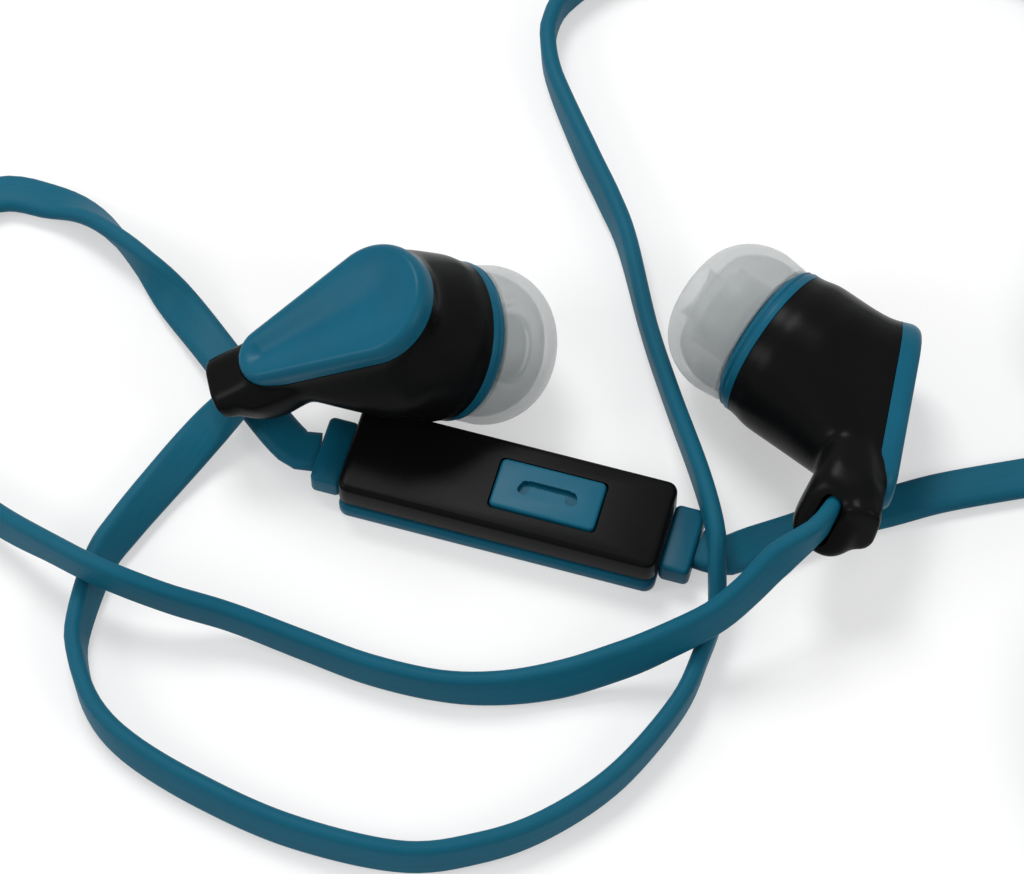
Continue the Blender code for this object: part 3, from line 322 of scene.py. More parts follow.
class EarphoneColours(bpy.types.PropertyGroup):
    """Colours of the earphones' finishes."""

    shell_blue: colour_property("Shell blue", "Caps, collars, base and button",
                                (0.0034, 0.083, 0.138))
    cord_blue: colour_property("Cord blue", "Jacket of the flat cord", (0.0034, 0.086, 0.140))
    shell_black: colour_property("Shell black", "Barrels and remote cover",
                                 (0.0036, 0.0037, 0.0038))
    silicone: colour_property("Silicone", "Ear tips", (0.43, 0.455, 0.455))
    contact: colour_property("Contacts", "Plated plug contacts", (0.78, 0.58, 0.26))
    steel: colour_property("Steel", "Screens, yokes and crimps", (0.52, 0.52, 0.53))


def sizes():
    """The scene's sizes."""
    return bpy.context.scene.earphone_sizes


def colours():
    """The scene's colours."""
    return bpy.context.scene.earphone_colours


class Wire:
    """A shader socket that takes part in Python expressions."""

    def __init__(self, tree, socket):
        self.tree = tree
        self.socket = socket

    def maths(self, operation, first, second):
        node = self.tree.nodes.new("ShaderNodeMath")
        node.operation = operation
        for socket, value in zip(node.inputs, (first, second)):
            if isinstance(value, Wire):
                self.tree.links.new(value.socket, socket)
            else:
                socket.default_value = value
        return Wire(self.tree, node.outputs[0])

    def __add__(self, other):
        return self.maths("ADD", self, other)

    __radd__ = __add__

    def __mul__(self, other):
        return self.maths("MULTIPLY", self, other)

    __rmul__ = __mul__

    def __sub__(self, other):
        return self.maths("SUBTRACT", self, other)

    def __rsub__(self, other):
        return self.maths("SUBTRACT", other, self)


class Finish:
    """A material whose nodes are added one call at a time."""

    def __init__(self, name):
        self.material = bpy.data.materials.new(name)
        self.material.use_nodes = True
        self.tree = self.material.node_tree
        self.shader = self.tree.nodes["Principled BSDF"]

    def feed(self, socket, value):
        if isinstance(value, Wire):
            self.tree.links.new(value.socket, socket)
        else:
            socket.default_value = value

    def node(self, kind, settings=None, inputs=None, output=0):
        node = self.tree.nodes.new(kind)
        for key, value in (settings or {}).items():
            setattr(node, key, value)
        for key, value in (inputs or {}).items():
            self.feed(node.inputs[key], value)
        return Wire(self.tree, node.outputs[output])

    def place(self, scale=(1, 1, 1)):
        """Object coordinates in metres, stretched by scale."""
        place = self.node("ShaderNodeTexCoord", output="Object")
        return self.node("ShaderNodeMapping", None, {"Vector": place, "Scale": scale})

    def noise(self, place, scale, detail=2.0):
        inputs = {"Vector": place, "Scale": scale, "Detail": detail}
        return self.node("ShaderNodeTexNoise", None, inputs)

    def blend(self, factor, colour, darker, lighter):
        """A colour that drifts between a darker and a lighter share of itself."""
        first, second = (tuple(min(1.0, part * share) for part in colour)
                         for share in (darker, lighter))
        return self.node(
            "ShaderNodeMix", {"data_type": "RGBA"},
            {0: factor, 6: (*first, 1.0), 7: (*second, 1.0)}, output=2,
        )

    def surface(self, colour, roughness, bump=None, depth=0.0, **constants):
        self.feed(self.shader.inputs["Base Color"], colour)
        self.feed(self.shader.inputs["Roughness"], roughness)
        if bump is not None:
            inputs = {"Height": bump, "Distance": depth, "Strength": 1.0}
            self.feed(self.shader.inputs["Normal"], self.node("ShaderNodeBump", None, inputs))
        for key, value in constants.items():
            self.shader.inputs[key.replace("_", " ")].default_value = value
        return self.material


def moulded(name, colour, roughness, grain=0.004 * MM, variation=0.16, gloss=0.1):
    """Moulded plastic: faint tone drift and a very fine texture."""
    finish = Finish(name)
    place = finish.place()
    drift = finish.noise(place, scale=160.0)
    fine = finish.noise(place, scale=5200.0, detail=1.0)
    tone = finish.blend(drift, colour, darker=1 - variation, lighter=1 + variation)
    rough = roughness + (drift - 0.5) * 0.08
    return finish.surface(tone, rough, fine, grain, Specular_IOR_Level=gloss)


def cord_jacket(name):
    """Soft cord jacket with faint drawing lines that run along it."""
    finish = Finish(name)
    along = finish.node("ShaderNodeUVMap", {"uv_map": "run"})
    stretched = finish.node("ShaderNodeMapping", None, {"Vector": along, "Scale": (1.0, 46.0, 1.0)})
    lines = finish.noise(stretched, scale=1.0, detail=1.0)
    drift = finish.noise(finish.place(), scale=210.0)
    mottle = lines * 0.6 + drift * 0.4
    tone = finish.blend(mottle, colours().cord_blue, darker=0.78, lighter=1.22)
    return finish.surface(tone, 0.44 + lines * 0.14, lines, 0.03 * MM, Specular_IOR_Level=0.1)


def silicone(name):
    """Frosted translucent silicone."""
    finish = Finish(name)
    place = finish.place()
    cloud = finish.noise(place, scale=240.0)
    dust = finish.noise(place, scale=3000.0, detail=1.0)
    tone = finish.blend(cloud, colours().silicone, darker=0.93, lighter=1.07)
    return finish.surface(
        tone, 0.36 + cloud * 0.1, dust, 0.006 * MM,
        Transmission_Weight=0.1, IOR=1.41, Alpha=0.44,
    )


def plated(name, colour, roughness):
    """Metal with fine turning marks."""
    finish = Finish(name)
    marks = finish.noise(finish.place(scale=(1.0, 1.0, 9.0)), scale=1500.0)
    tone = finish.blend(marks, colour, darker=0.86, lighter=1.1)
    return finish.surface(tone, roughness + marks * 0.12, marks, 0.003 * MM, Metallic=1.0)


def make_finishes():
    """Every finish, by the record's slot names."""
    paint = colours()
    return {
        "blue_plastic": moulded("satin_blue", paint.shell_blue, 0.36),
        "black_plastic": moulded("gloss_black", paint.shell_black, 0.28,
                                 grain=0.002 * MM, variation=0.1, gloss=0.04),
        "silicone": silicone("frosted_silicone"),
        "cord_blue": cord_jacket("blue_jacket"),
        "steel": plated("drawn_steel", paint.steel, 0.3),
        "magnet": plated("nickelled_magnet", (0.42, 0.41, 0.39), 0.24),
        "copper": plated("copper_winding", (0.62, 0.27, 0.13), 0.3),
        "film": moulded("diaphragm_film", (0.55, 0.50, 0.40), 0.3),
        "board": moulded("solder_mask", (0.02, 0.16, 0.06), 0.45),
        "gold": plated("plated_contact", paint.contact, 0.2),
        "dark_rubber": moulded("dark_rubber", (0.02, 0.02, 0.02), 0.62),
    }


FINISHES = {}


def only(piece):
    """Select one object and make it active."""
    bpy.ops.object.select_all(action="DESELECT")
    piece.select_set(True)
    bpy.context.view_layer.objects.active = piece


def from_points(name, points, edges=(), faces=()):
    """A mesh object from points, ready to be shaped."""
    mesh = bpy.data.meshes.new(name)
    mesh.from_pydata([tuple(point) for point in points], edges, faces)
    piece = bpy.data.objects.new(name, mesh)
    bpy.context.scene.collection.objects.link(piece)
    only(piece)
    return piece


def modified(piece, kind, **settings):
    """Add a modifier and apply it."""
    only(piece)
    modifier = piece.modifiers.new(kind.title(), kind)
    for key, value in settings.items():
        setattr(modifier, key, value)
    bpy.ops.object.modifier_apply(modifier=modifier.name)


def soften(piece, width, segments, sharpest):
    """Bevel every edge that turns by more than an angle in degrees."""
    modified(piece, "BEVEL", width=width, segments=segments, limit_method="ANGLE",
             angle_limit=math.radians(sharpest))


def cut(piece, cutter, operation="DIFFERENCE"):
    """Cut or join with another mesh, which is then removed."""
    modified(piece, "BOOLEAN", operation=operation, object=cutter, solver="EXACT")
    bpy.data.objects.remove(cutter, do_unlink=True)


def tidy_normals(piece):
    """Merge doubles and turn every face outwards."""
    only(piece)
    bpy.ops.object.mode_set(mode="EDIT")
    bpy.ops.mesh.select_all(action="SELECT")
    bpy.ops.mesh.remove_doubles(threshold=0.002 * MM)
    bpy.ops.mesh.normals_make_consistent(inside=False)
    bpy.ops.object.mode_set(mode="OBJECT")


def settle(piece, pose, slot, body, nodes=(), angle=35.0):
    """Place a finished piece in the frame, give it its finish and body, and hide the frame's pieces
    that it replaces.
    """
    only(piece)
    piece.matrix_world = pose @ piece.matrix_world
    bpy.ops.object.transform_apply(location=True, rotation=True, scale=True)
    bpy.ops.object.shade_smooth_by_angle(angle=math.radians(angle))
    piece.data.materials.clear()
    piece.data.materials.append(FINISHES[slot])
    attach(piece, body)
    if nodes:
        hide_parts(*nodes)
    return piece


def in_metres(profile):
    """A profile of points from millimetres to metres."""
    return [(radius * MM, height * MM) for radius, height in profile]


def spun(name, profile, closed=True, edge=0.0):
    """Spin a profile of radius and height points about Z, with softened edges."""
    count = len(profile)
    edges = [(i, i + 1) for i in range(count - 1)] + ([(count - 1, 0)] if closed else [])
    piece = from_points(name, [(radius, 0, height) for radius, height in profile], edges)
    bpy.ops.object.mode_set(mode="EDIT")
    bpy.ops.mesh.select_all(action="SELECT")
    bpy.ops.mesh.spin(steps=RING_POINTS, angle=2 * math.pi, center=(0, 0, 0), axis=(0, 0, 1))
    bpy.ops.object.mode_set(mode="OBJECT")
    tidy_normals(piece)
    if edge:
        soften(piece, edge, segments=3, sharpest=30)
    return piece


def skinned(name, rings):
    """Skin a row of equal rings and close both ends."""
    count = len(rings[0])
    points = [point for ring in rings for point in ring]
    faces = []
    for row in range(len(rings) - 1):
        for i in range(count):
            j = (i + 1) % count
            low, high = row * count, (row + 1) * count
            faces.append((low + i, low + j, high + j, high + i))
    faces.append(tuple(range(count)))
    faces.append(tuple(range((len(rings) - 1) * count, len(rings) * count)))
    piece = from_points(name, points, (), faces)
    tidy_normals(piece)
    return piece


def rounded_block(name, size, place, corner, edge=0.0):
    """A cube shaped to a block with round upright corners and soft edges."""
    bpy.ops.object.select_all(action="DESELECT")
    bpy.ops.mesh.primitive_cube_add(size=1.0, location=place)
    piece = bpy.context.object
    piece.name = name
    piece.scale = size
    bpy.ops.object.transform_apply(location=True, rotation=True, scale=True)
    bpy.ops.object.mode_set(mode="EDIT")
    bpy.ops.mesh.select_mode(type="EDGE")
    bpy.ops.mesh.select_all(action="DESELECT")
    bpy.ops.object.mode_set(mode="OBJECT")
    for line in piece.data.edges:
        first, second = (piece.data.vertices[i].co for i in line.vertices)
        line.select = abs(first.z - second.z) > size[2] * 0.5
    bpy.ops.object.mode_set(mode="EDIT")
    bpy.ops.mesh.bevel(offset=corner, segments=6, affect="EDGES")
    bpy.ops.object.mode_set(mode="OBJECT")
    if edge:
        soften(piece, edge, segments=4, sharpest=40)
    return piece


def earpiece_pose(side):
    """The pose of one earpiece, as the frame has it."""
    place, nozzle, across, _ = EARPIECES[side]
    z_axis = Vector(nozzle).normalized()
    x_axis = (Vector(across) - Vector(across).dot(z_axis) * z_axis).normalized()
    y_axis = z_axis.cross(x_axis)
    turn = Matrix((x_axis, y_axis, z_axis)).transposed().to_4x4()
    return Matrix.Translation(Vector(place) * MM) @ turn


def stem_point(reach, forward, side=0.0):
    """A point of the earpiece, by its place on the stem."""
    return CAP_CENTRE + reach * STEM_WAY + forward * PLATE_WAY + Vector((side, 0, 0))


def ring_angles():
    """The angles of a ring's points, the same for every ring of an earpiece."""
    return [2 * math.pi * (i + 0.5) / RING_POINTS for i in range(RING_POINTS)]


def arc(first, last, count):
    """Angles at even steps between two, given in degrees."""
    return [math.radians(first + (last - first) * i / (count - 1)) for i in range(count)]


def teardrop(forward, inset=0.0, share=1.0):
    """The cap's outline, forward of its back face, drawn in towards its middle line."""
    size = sizes()
    half = math.acos((size.cap_big - size.cap_small) / size.cap_span)
    points = []
    for angle in ring_angles():
        small = math.cos(angle) > math.cos(half)
        radius = ((size.cap_small if small else size.cap_big) - inset) * share
        along = (size.cap_span if small else 0.0) + radius * math.cos(angle)
        points.append(stem_point(along, forward, radius * math.sin(angle)))
    return points


def barrel_ring(radius, height):
    """A circle whose points face the same way as the teardrop's."""
    return [Vector((radius * math.sin(a), -radius * math.cos(a), height)) for a in ring_angles()]


def rounded_outline(length, width, corner, steps=5):
    """Points of a rectangle with round corners."""
    points = []
    for k, (sx, sy) in enumerate([(1, 1), (-1, 1), (-1, -1), (1, -1)]):
        centre = Vector((sx * (length / 2 - corner), sy * (width / 2 - corner)))
        for i in range(steps + 1):
            angle = math.radians(90) * (k + i / steps)
            points.append(centre + corner * Vector((math.cos(angle), math.sin(angle))))
    return points


def flare_rings():
    """Rings that carry the barrel's circle smoothly into the plate's teardrop."""
    circle = barrel_ring(sizes().barrel_radius, BARREL_END)
    plate = teardrop(PLATE_FRONT)
    leave = Vector((0, 0, -FLARE_LEAVE))
    arrive = -FLARE_ARRIVE * PLATE_WAY
    rings = []
    for k in range(FLARE_STEPS + 1):
        t = k / FLARE_STEPS
        near = 2 * t**3 - 3 * t**2 + 1
        pull = (t**3 - 2 * t**2 + t) * leave + (t**3 - t**2) * arrive
        rings.append([near * a + (1 - near) * b + pull for a, b in zip(circle, plate)])
    return rings


def stem_outline(depth, inset=0.0):
    """A round-cornered section of the stem."""
    width, depth = sizes().stem_width - inset, depth - inset
    corner = min(STEM_ROUND, width / CORNER_DIVISOR, depth / CORNER_DIVISOR)
    return rounded_outline(width, depth, corner)


def stem_ring(reach):
    """The stem's section at a distance from the cap's centre, square to the plate."""
    middle = PLATE_FRONT + STEM_ROOT_DEPTH / 2
    return [stem_point(reach, middle + p.y, p.x) for p in stem_outline(STEM_ROOT_DEPTH)]


def mouth():
    """Middle of the opening that the cord leaves by."""
    return stem_point(sizes().stem_reach, STEM_MIDDLE + EXIT_OFFSET)


def exit_ring(distance, outline, slant=0.0):
    """A section at a distance beyond the mouth, on the leaning line that the cord leaves by."""
    return [
        mouth() + (distance - slant * p.x) * EXIT_WAY + p.y * EXIT_ACROSS + Vector((p.x, 0, 0))
        for p in outline
    ]


class EARPHONES_OT_camera(bpy.types.Operator):
    """Camera at the photograph's viewing angle"""

    bl_idname = "earphones.camera"
    bl_label = "Camera"

    def execute(self, context):
        data = bpy.data.cameras.new("view")
        data.sensor_width = SENSOR_WIDTH
        data.lens = SENSOR_WIDTH * FOCAL_PIXELS / PHOTO_WIDTH
        data.clip_start = NEAREST_SEEN
        camera = bpy.data.objects.new("view", data)
        camera.location = CAMERA_PLACE
        camera.rotation_euler = (CAMERA_TILT, 0, 0)
        context.scene.collection.objects.link(camera)
        context.scene.camera = camera
        return {"FINISHED"}


def smooth_route(points, step):
    """Places and rolls at even steps on a smooth curve through a route."""
    knots = [Vector(p[:3]) for p in points]
    rolls = [p[3] for p in points]
    ends = [2 * knots[0] - knots[1]] + knots + [2 * knots[-1] - knots[-2]]
    fine = []
    for i in range(len(knots) - 1):
        p0, p1, p2, p3 = ends[i:i + 4]
        for k in range(CURVE_STEPS):
            t = k / CURVE_STEPS
            place = 0.5 * (2 * p1 + (p2 - p0) * t + (2 * p0 - 5 * p1 + 4 * p2 - p3) * t**2
                           + (3 * p1 - p0 - 3 * p2 + p3) * t**3)
            fine.append((place, rolls[i] + (rolls[i + 1] - rolls[i]) * t))
    fine.append((knots[-1], rolls[-1]))
    chosen = [fine[0]]
    travelled = 0.0
    for a, b in zip(fine, fine[1:]):
        travelled += (b[0] - a[0]).length
        if travelled >= step:
            chosen.append(b)
            travelled = 0.0
    chosen[-1] = fine[-1]
    return chosen


def flat_cord(name, route, nodes):
    """Sweep the cord's flat section along a route; keep the run in a UV map."""
    size = sizes()
    corner = size.cord_thickness * CORD_ROUND_SHARE
    section = rounded_outline(size.cord_width, size.cord_thickness, corner)
    stations = smooth_route(route, CORD_STEP)
    rings = []
    up = Vector((0, 0, 1))
    for i, (place, roll) in enumerate(stations):
        ahead = stations[min(i + 1, len(stations) - 1)][0] - stations[max(i - 1, 0)][0]
        side = ahead.cross(up).normalized()
        over = side.cross(ahead).normalized()
        turn = math.radians(roll)
        wide = math.cos(turn) * over + math.sin(turn) * side
        thin = math.cos(turn) * side - math.sin(turn) * over
        rings.append([place + wide * p.x + thin * p.y for p in section])
    cord = skinned(name, rings)
    run = cord.data.uv_layers.new(name="run")
    count = len(section)
    order = {tuple(round(c, 6) for c in point): divmod(k, count)
             for k, point in enumerate(point for ring in rings for point in ring)}
    for loop in cord.data.loops:
        key = tuple(round(c, 6) for c in cord.data.vertices[loop.vertex_index].co)
        row, across = order.get(key, (0, 0))
        run.data[loop.index].uv = (row * CORD_STEP * RUN_SCALE, abs(2 * across / count - 1))
    settle(cord, Matrix.Identity(4), "cord_blue", "set", nodes, angle=60.0)
    return cord, [place for place, _ in stations]


def metres(route):
    """A route from millimetres to metres, rolls kept."""
    return [(x * MM, y * MM, z * MM, roll) for x, y, z, roll in route]


def stem_run(side):
    """The cord's first points, from its anchor to just outside the stem, rolled to suit it."""
    pose = earpiece_pose(side)
    ahead = pose.to_3x3() @ EXIT_WAY
    across = pose.to_3x3() @ Vector((1, 0, 0))
    beside = ahead.cross(Vector((0, 0, 1))).normalized()
    over = beside.cross(ahead)
    roll = math.degrees(math.atan2(across.dot(beside), across.dot(over)))
    if roll < -45:
        roll += 180
    distances = (CORD_START, CORD_START / 2, EXIT_RUN)
    return [(*(pose @ (mouth() + distance * EXIT_WAY)), roll) for distance in distances]


def straight_end(pose, x, y, z, roll):
    """A cord's last two points before a stub or the splitter."""
    away = math.copysign(CORD_STRAIGHT, x)
    return [(*(pose @ Vector((x + step, y, z))), roll) for step in (away, 0.0)]


def round_coil(radius, angle, level):
    """A point of the coiled cord, on edge."""
    return (COIL_CENTRE.x + radius * math.cos(angle), COIL_CENTRE.y + radius * math.sin(angle),
            level, 0)


def main_route():
    """The main cord: lead, wound turns and the rising tail to the plug."""
    route = straight_end(SPLITTER_POSE, SPLITTER_CORD_END, 0, 0, 90)[::-1]
    route += metres(MAIN_LEAD_ROUTE)
    steps = round(COIL_TURNS * COIL_STEPS_PER_TURN)
    for i in range(COIL_FIRST_STEP, steps + 1):
        wound = COIL_TURNS * i / steps
        radius = (COIL_OUTER - COIL_PITCH * wound) * MM
        route.append(round_coil(radius, COIL_START - 2 * math.pi * wound, COIL_LEVEL))
    for i in range(TAIL_FIRST_STEP, TAIL_STEPS + 1):
        level = COIL_LEVEL + (PLUG_LEVEL - COIL_LEVEL) * i / TAIL_STEPS
        route.append(round_coil(TAIL_RADIUS, TAIL_START - math.pi * i / TAIL_STEPS, level))
    x, y, level, _ = route[-1]
    route.append((x + TAIL_STRAIGHT * math.sin(TAIL_END), y - TAIL_STRAIGHT * math.cos(TAIL_END),
                  level, 0))
    return route


CORD_PATHS = {}


class EARPHONES_OT_cords(bpy.types.Operator):
    """Flat cord: the two branches in three runs, and the main cord"""

    bl_idname = "earphones.cords"
    bl_label = "Cords"

    def execute(self, context):
        stub_end = sizes().remote_length / 2 + STUB_CORD_END
        left = stem_run("left") + metres(LEFT_ROUTE)
        left += straight_end(SPLITTER_POSE, -SPLITTER_CORD_END, BRANCH_OFFSET, 0, 90)
        upper = stem_run("right") + metres(RIGHT_UPPER_ROUTE)
        upper += straight_end(REMOTE_POSE, -stub_end, 0, CORD_LEVEL, -90)
        lower = straight_end(REMOTE_POSE, stub_end, 0, CORD_LEVEL, 90)[::-1]
        lower += metres(RIGHT_LOWER_ROUTE)
        lower += straight_end(SPLITTER_POSE, -SPLITTER_CORD_END, -BRANCH_OFFSET, 0, 90)
        runs = {
            "left_branch": (left, ["cord_left"]),
            "right_branch_upper": (upper, ["cord_right_upper"]),
            "right_branch_lower": (lower, ["cord_right_lower"]),
            "main_cord": (main_route(), ["main_cord_lead", "main_cord_coil", "main_cord_tail"]),
        }
        for name, (route, nodes) in runs.items():
            CORD_PATHS[name] = flat_cord(name, route, nodes)
        return {"FINISHED"}


class EARPHONES_OT_body_shells(bpy.types.Operator):
    """Black shells: barrel, flare to the plate and the stem, blended into each other"""

    bl_idname = "earphones.body_shells"
    bl_label = "Body shells"

    def execute(self, context):
        size = sizes()
        heel = rounded_outline(HEEL_WIDTH, HEEL_DEPTH, HEEL_ROUND)
        heel_middle = HEEL_BACK + HEEL_DEPTH / 2
        front = [(0, FACE), (CUTTER_RADIUS, FACE), (CUTTER_RADIUS, CUTTER_TOP), (0, CUTTER_TOP)]
        opening = rounded_outline(size.cord_width + 2 * GAP, size.cord_thickness + 2 * GAP,
                                  CHANNEL_ROUND)
        for side, (_, _, _, hand) in EARPIECES.items():
            shell = skinned(f"shell_{side}", [
                barrel_ring(size.collar_radius, SPARE), barrel_ring(size.collar_radius, 0),
                barrel_ring(size.barrel_radius, BARREL_SHOULDER), *flare_rings(),
                teardrop(PLATE_FRONT - SPARE),
            ])
            slant = hand * STEM_SLANT
            cut(shell, skinned("stem", [
                stem_ring(size.stem_reach * STEM_ROOT_SHARE),
                stem_ring(size.stem_reach * STEM_NECK_SHARE),
                exit_ring(-STEM_ROUND, stem_outline(size.stem_depth), slant),
                exit_ring(-STEM_ROUND * STEM_END_SHARE,
                          stem_outline(size.stem_depth, STEM_END_INSET), slant),
                exit_ring(0, stem_outline(size.stem_depth, STEM_ROUND), slant),
            ]), "UNION")
            cut(shell, skinned("heel", [
                [stem_point(reach, heel_middle + p.y, p.x) for p in heel]
                for reach in (HEEL_START, HEEL_END)
            ]), "UNION")
            modified(shell, "REMESH", mode="VOXEL", voxel_size=BLEND_VOXEL)
            modified(shell, "SMOOTH", factor=0.5, iterations=BLEND_PASSES)
            cut(shell, spun("front_face", front, closed=False))
            cut(shell, skinned("cap_seat", [
                teardrop(at, -SEAM) for at in (CUTTER_BACK, PLATE_FRONT)
            ]))
            cut(shell, spun("cavity", in_metres(CAVITY_PROFILE), closed=False))
            cut(shell, skinned("slot", [
                exit_ring(at, opening) for at in (-CHANNEL_DEPTH, size.stem_width)
            ]))
            pose = earpiece_pose(side)
            settle(shell, pose, "black_plastic", "set", [f"body_shell_{side}"])
        return {"FINISHED"}


class EARPHONES_OT_front_shells(bpy.types.Operator):
    """Blue collars with their nozzles"""

    bl_idname = "earphones.front_shells"
    bl_label = "Front shells"

    def execute(self, context):
        rim = sizes().collar_radius / MM
        profile = [
            (5.4, -0.9), (5.4, 0.3), (rim, 0.3), (rim, 0.85), (rim - 0.18, 0.95),
            (rim - 0.18, 1.1), (rim - 0.08, 1.2), (rim - 0.3, 1.5), (rim - 0.55, 1.6),
            (4.4, 2.5), (2.5, 2.8), (2.5, 5.1), (2.75, 5.35), (2.75, 5.85), (2.5, 6.1),
            (1.7, 6.1), (1.7, 0.3), (4.5, -0.3), (4.5, -0.9),
        ]
        for side in EARPIECES:
            collar = spun(f"collar_{side}", in_metres(profile), edge=COLLAR_EDGE)
            pose = earpiece_pose(side)
            settle(collar, pose, "blue_plastic", "set", [f"front_shell_{side}"])
        return {"FINISHED"}


class EARPHONES_OT_ear_tips(bpy.types.Operator):
    """Silicone mushroom tips"""

    bl_idname = "earphones.ear_tips"
    bl_label = "Ear tips"

    def execute(self, context):
        size = sizes()
        front = TIP_BACK + size.tip_length
        hole = TIP_BORE * TIP_MOUTH_SHARE
        drop = size.tip_length * TIP_DOME_SHARE
        rim = size.tip_radius * TIP_RIM_SHARE
        inner = TIP_SLEEVE * TIP_INNER_SHARE
        profile = [(hole, front)]
        for angle in arc(12, 90, 20):
            profile.append((hole + (size.tip_radius - hole) * math.sin(angle),
                            front - drop * (1 - math.cos(angle))))
        profile += [(rim, TIP_BACK), (rim - TIP_WALL, TIP_BACK)]
        for angle in arc(90, 28, 14):
            radius = inner + (size.tip_radius - TIP_WALL - inner) * math.sin(angle)
            level = front - 2 * TIP_WALL - (drop - TIP_WALL) * (1 - math.cos(angle))
            if radius > TIP_SLEEVE + TIP_WALL:
                profile.append((radius, level))
        profile += [
            (TIP_SLEEVE, profile[-1][1]), (TIP_SLEEVE, SLEEVE_BACK), (TIP_BORE, SLEEVE_BACK),
            (TIP_BORE, BORE_FRONT), (hole, MOUTH_BACK),
        ]
        for side in EARPIECES:
            tip = spun(f"tip_{side}", profile, edge=TIP_EDGE)
            pose = earpiece_pose(side)
            settle(tip, pose, "silicone", f"tip_{side}", [f"ear_tip_{side}"], angle=50.0)
        return {"FINISHED"}


class EARPHONES_OT_rear_caps(bpy.types.Operator):
    """Blue teardrop caps with a rounded rim and a shallow dish"""

    bl_idname = "earphones.rear_caps"
    bl_label = "Rear caps"

    def execute(self, context):
        rings = [teardrop(CAP_THICKNESS)]
        for angle in arc(0, 90, CAP_ROUND_POINTS):
            rings.append(teardrop(CAP_EDGE * (1 - math.sin(angle)),
                                  CAP_ROUND * (1 - math.cos(angle))))
        for i in range(1, DISH_STEPS):
            share = i / DISH_STEPS
            sunk = DISH_DEPTH * (1 - math.cos(math.pi * share)) / 2
            rings.append(teardrop(sunk, CAP_ROUND, 1 - share))
        for side in EARPIECES:
            cap = skinned(f"cap_{side}", rings)
            settle(cap, earpiece_pose(side), "blue_plastic", "set", [f"rear_cap_{side}"])
        return {"FINISHED"}


class EARPHONES_OT_remote(bpy.types.Operator):
    """Remote: blue base, black cover with the button's window, and the cord stubs"""

    bl_idname = "earphones.remote"
    bl_label = "Remote"

    def execute(self, context):
        size = sizes()
        length = size.remote_length
        hollow = (length - END_WALLS, HOLLOW_WIDTH, HOLLOW_HEIGHT)
        base = rounded_block("base", (length, BASE_WIDTH, BASE_HEIGHT), (0, 0, BASE_HEIGHT / 2),
                             REMOTE_CORNER, BASE_EDGE)
        cut(base, rounded_block("pocket", hollow, (0, 0, POCKET_LEVEL), HOLLOW_CORNER))
        settle(base, REMOTE_POSE, "blue_plastic", "set", ["remote_base"])
        tall = COVER_TOP - COVER_BOTTOM
        cover = rounded_block("cover", (length, COVER_WIDTH, tall),
                              (0, 0, COVER_BOTTOM + tall / 2), REMOTE_CORNER, COVER_EDGE)
        cut(cover, rounded_block("hollow", hollow, (0, 0, HOLLOW_LEVEL), HOLLOW_CORNER))
        window = (size.button_length + GAP, size.button_width + GAP, HOLLOW_HEIGHT)
        cut(cover, rounded_block("window", window, (BUTTON_PLACE, 0, COVER_TOP), BUTTON_CORNER))
        settle(cover, REMOTE_POSE, "black_plastic", "set", ["remote_cover"])
        for name, sign in (("left", -1), ("right", 1)):
            middle = (sign * (length / 2 + STUB_OFFSET), 0, CORD_LEVEL)
            stub = rounded_block(f"stub_{name}", STUB_SIZE, middle, STUB_CORNER, STUB_EDGE)
            settle(stub, REMOTE_POSE, "blue_plastic", "set", [f"remote_stub_{name}"])
        return {"FINISHED"}


class EARPHONES_OT_button(bpy.types.Operator):
    """Call button with a sunk handset symbol"""

    bl_idname = "earphones.button"
    bl_label = "Call button"

    def execute(self, context):
        length, width = sizes().button_length, sizes().button_width
        top = COVER_TOP + BUTTON_RISE
        button = rounded_block("button", (length, width, BUTTON_HEIGHT),
                               (BUTTON_PLACE, 0, top - BUTTON_HEIGHT / 2),
                               BUTTON_CORNER, BUTTON_EDGE)
        border = (length + FLANGE_BORDER, width + FLANGE_BORDER, FLANGE_HEIGHT)
        cut(button, rounded_block("flange", border, (BUTTON_PLACE, 0, FLANGE_LEVEL),
                                  FLANGE_CORNER), "UNION")
        cut(button, rounded_block("handle", HANDLE_SIZE, (BUTTON_PLACE, HANDLE_OFFSET, top),
                                  HANDLE_CORNER))
        for sign in (-1, 1):
            lobe = rounded_block("lobe", LOBE_SIZE, (0, 0, top), LOBE_CORNER)
            lobe.matrix_world = (Matrix.Translation((BUTTON_PLACE + sign * LOBE_OFFSET, 0, 0))
                                 @ Matrix.Rotation(math.radians(LOBE_TURN * sign), 4, "Z"))
            context.view_layer.update()
            cut(button, lobe)
        settle(button, REMOTE_POSE, "blue_plastic", "button", ["call_button"])
        return {"FINISHED"}


class EARPHONES_OT_splitter(bpy.types.Operator):
    """Y splitter where the branches join"""

    bl_idname = "earphones.splitter"
    bl_label = "Splitter"

    def execute(self, context):
        body = rounded_block("splitter", SPLITTER_SIZE, (0, 0, 0), SPLITTER_CORNER, SPLITTER_EDGE)
        settle(body, SPLITTER_POSE, "blue_plastic", "set", ["splitter_body"])
        return {"FINISHED"}


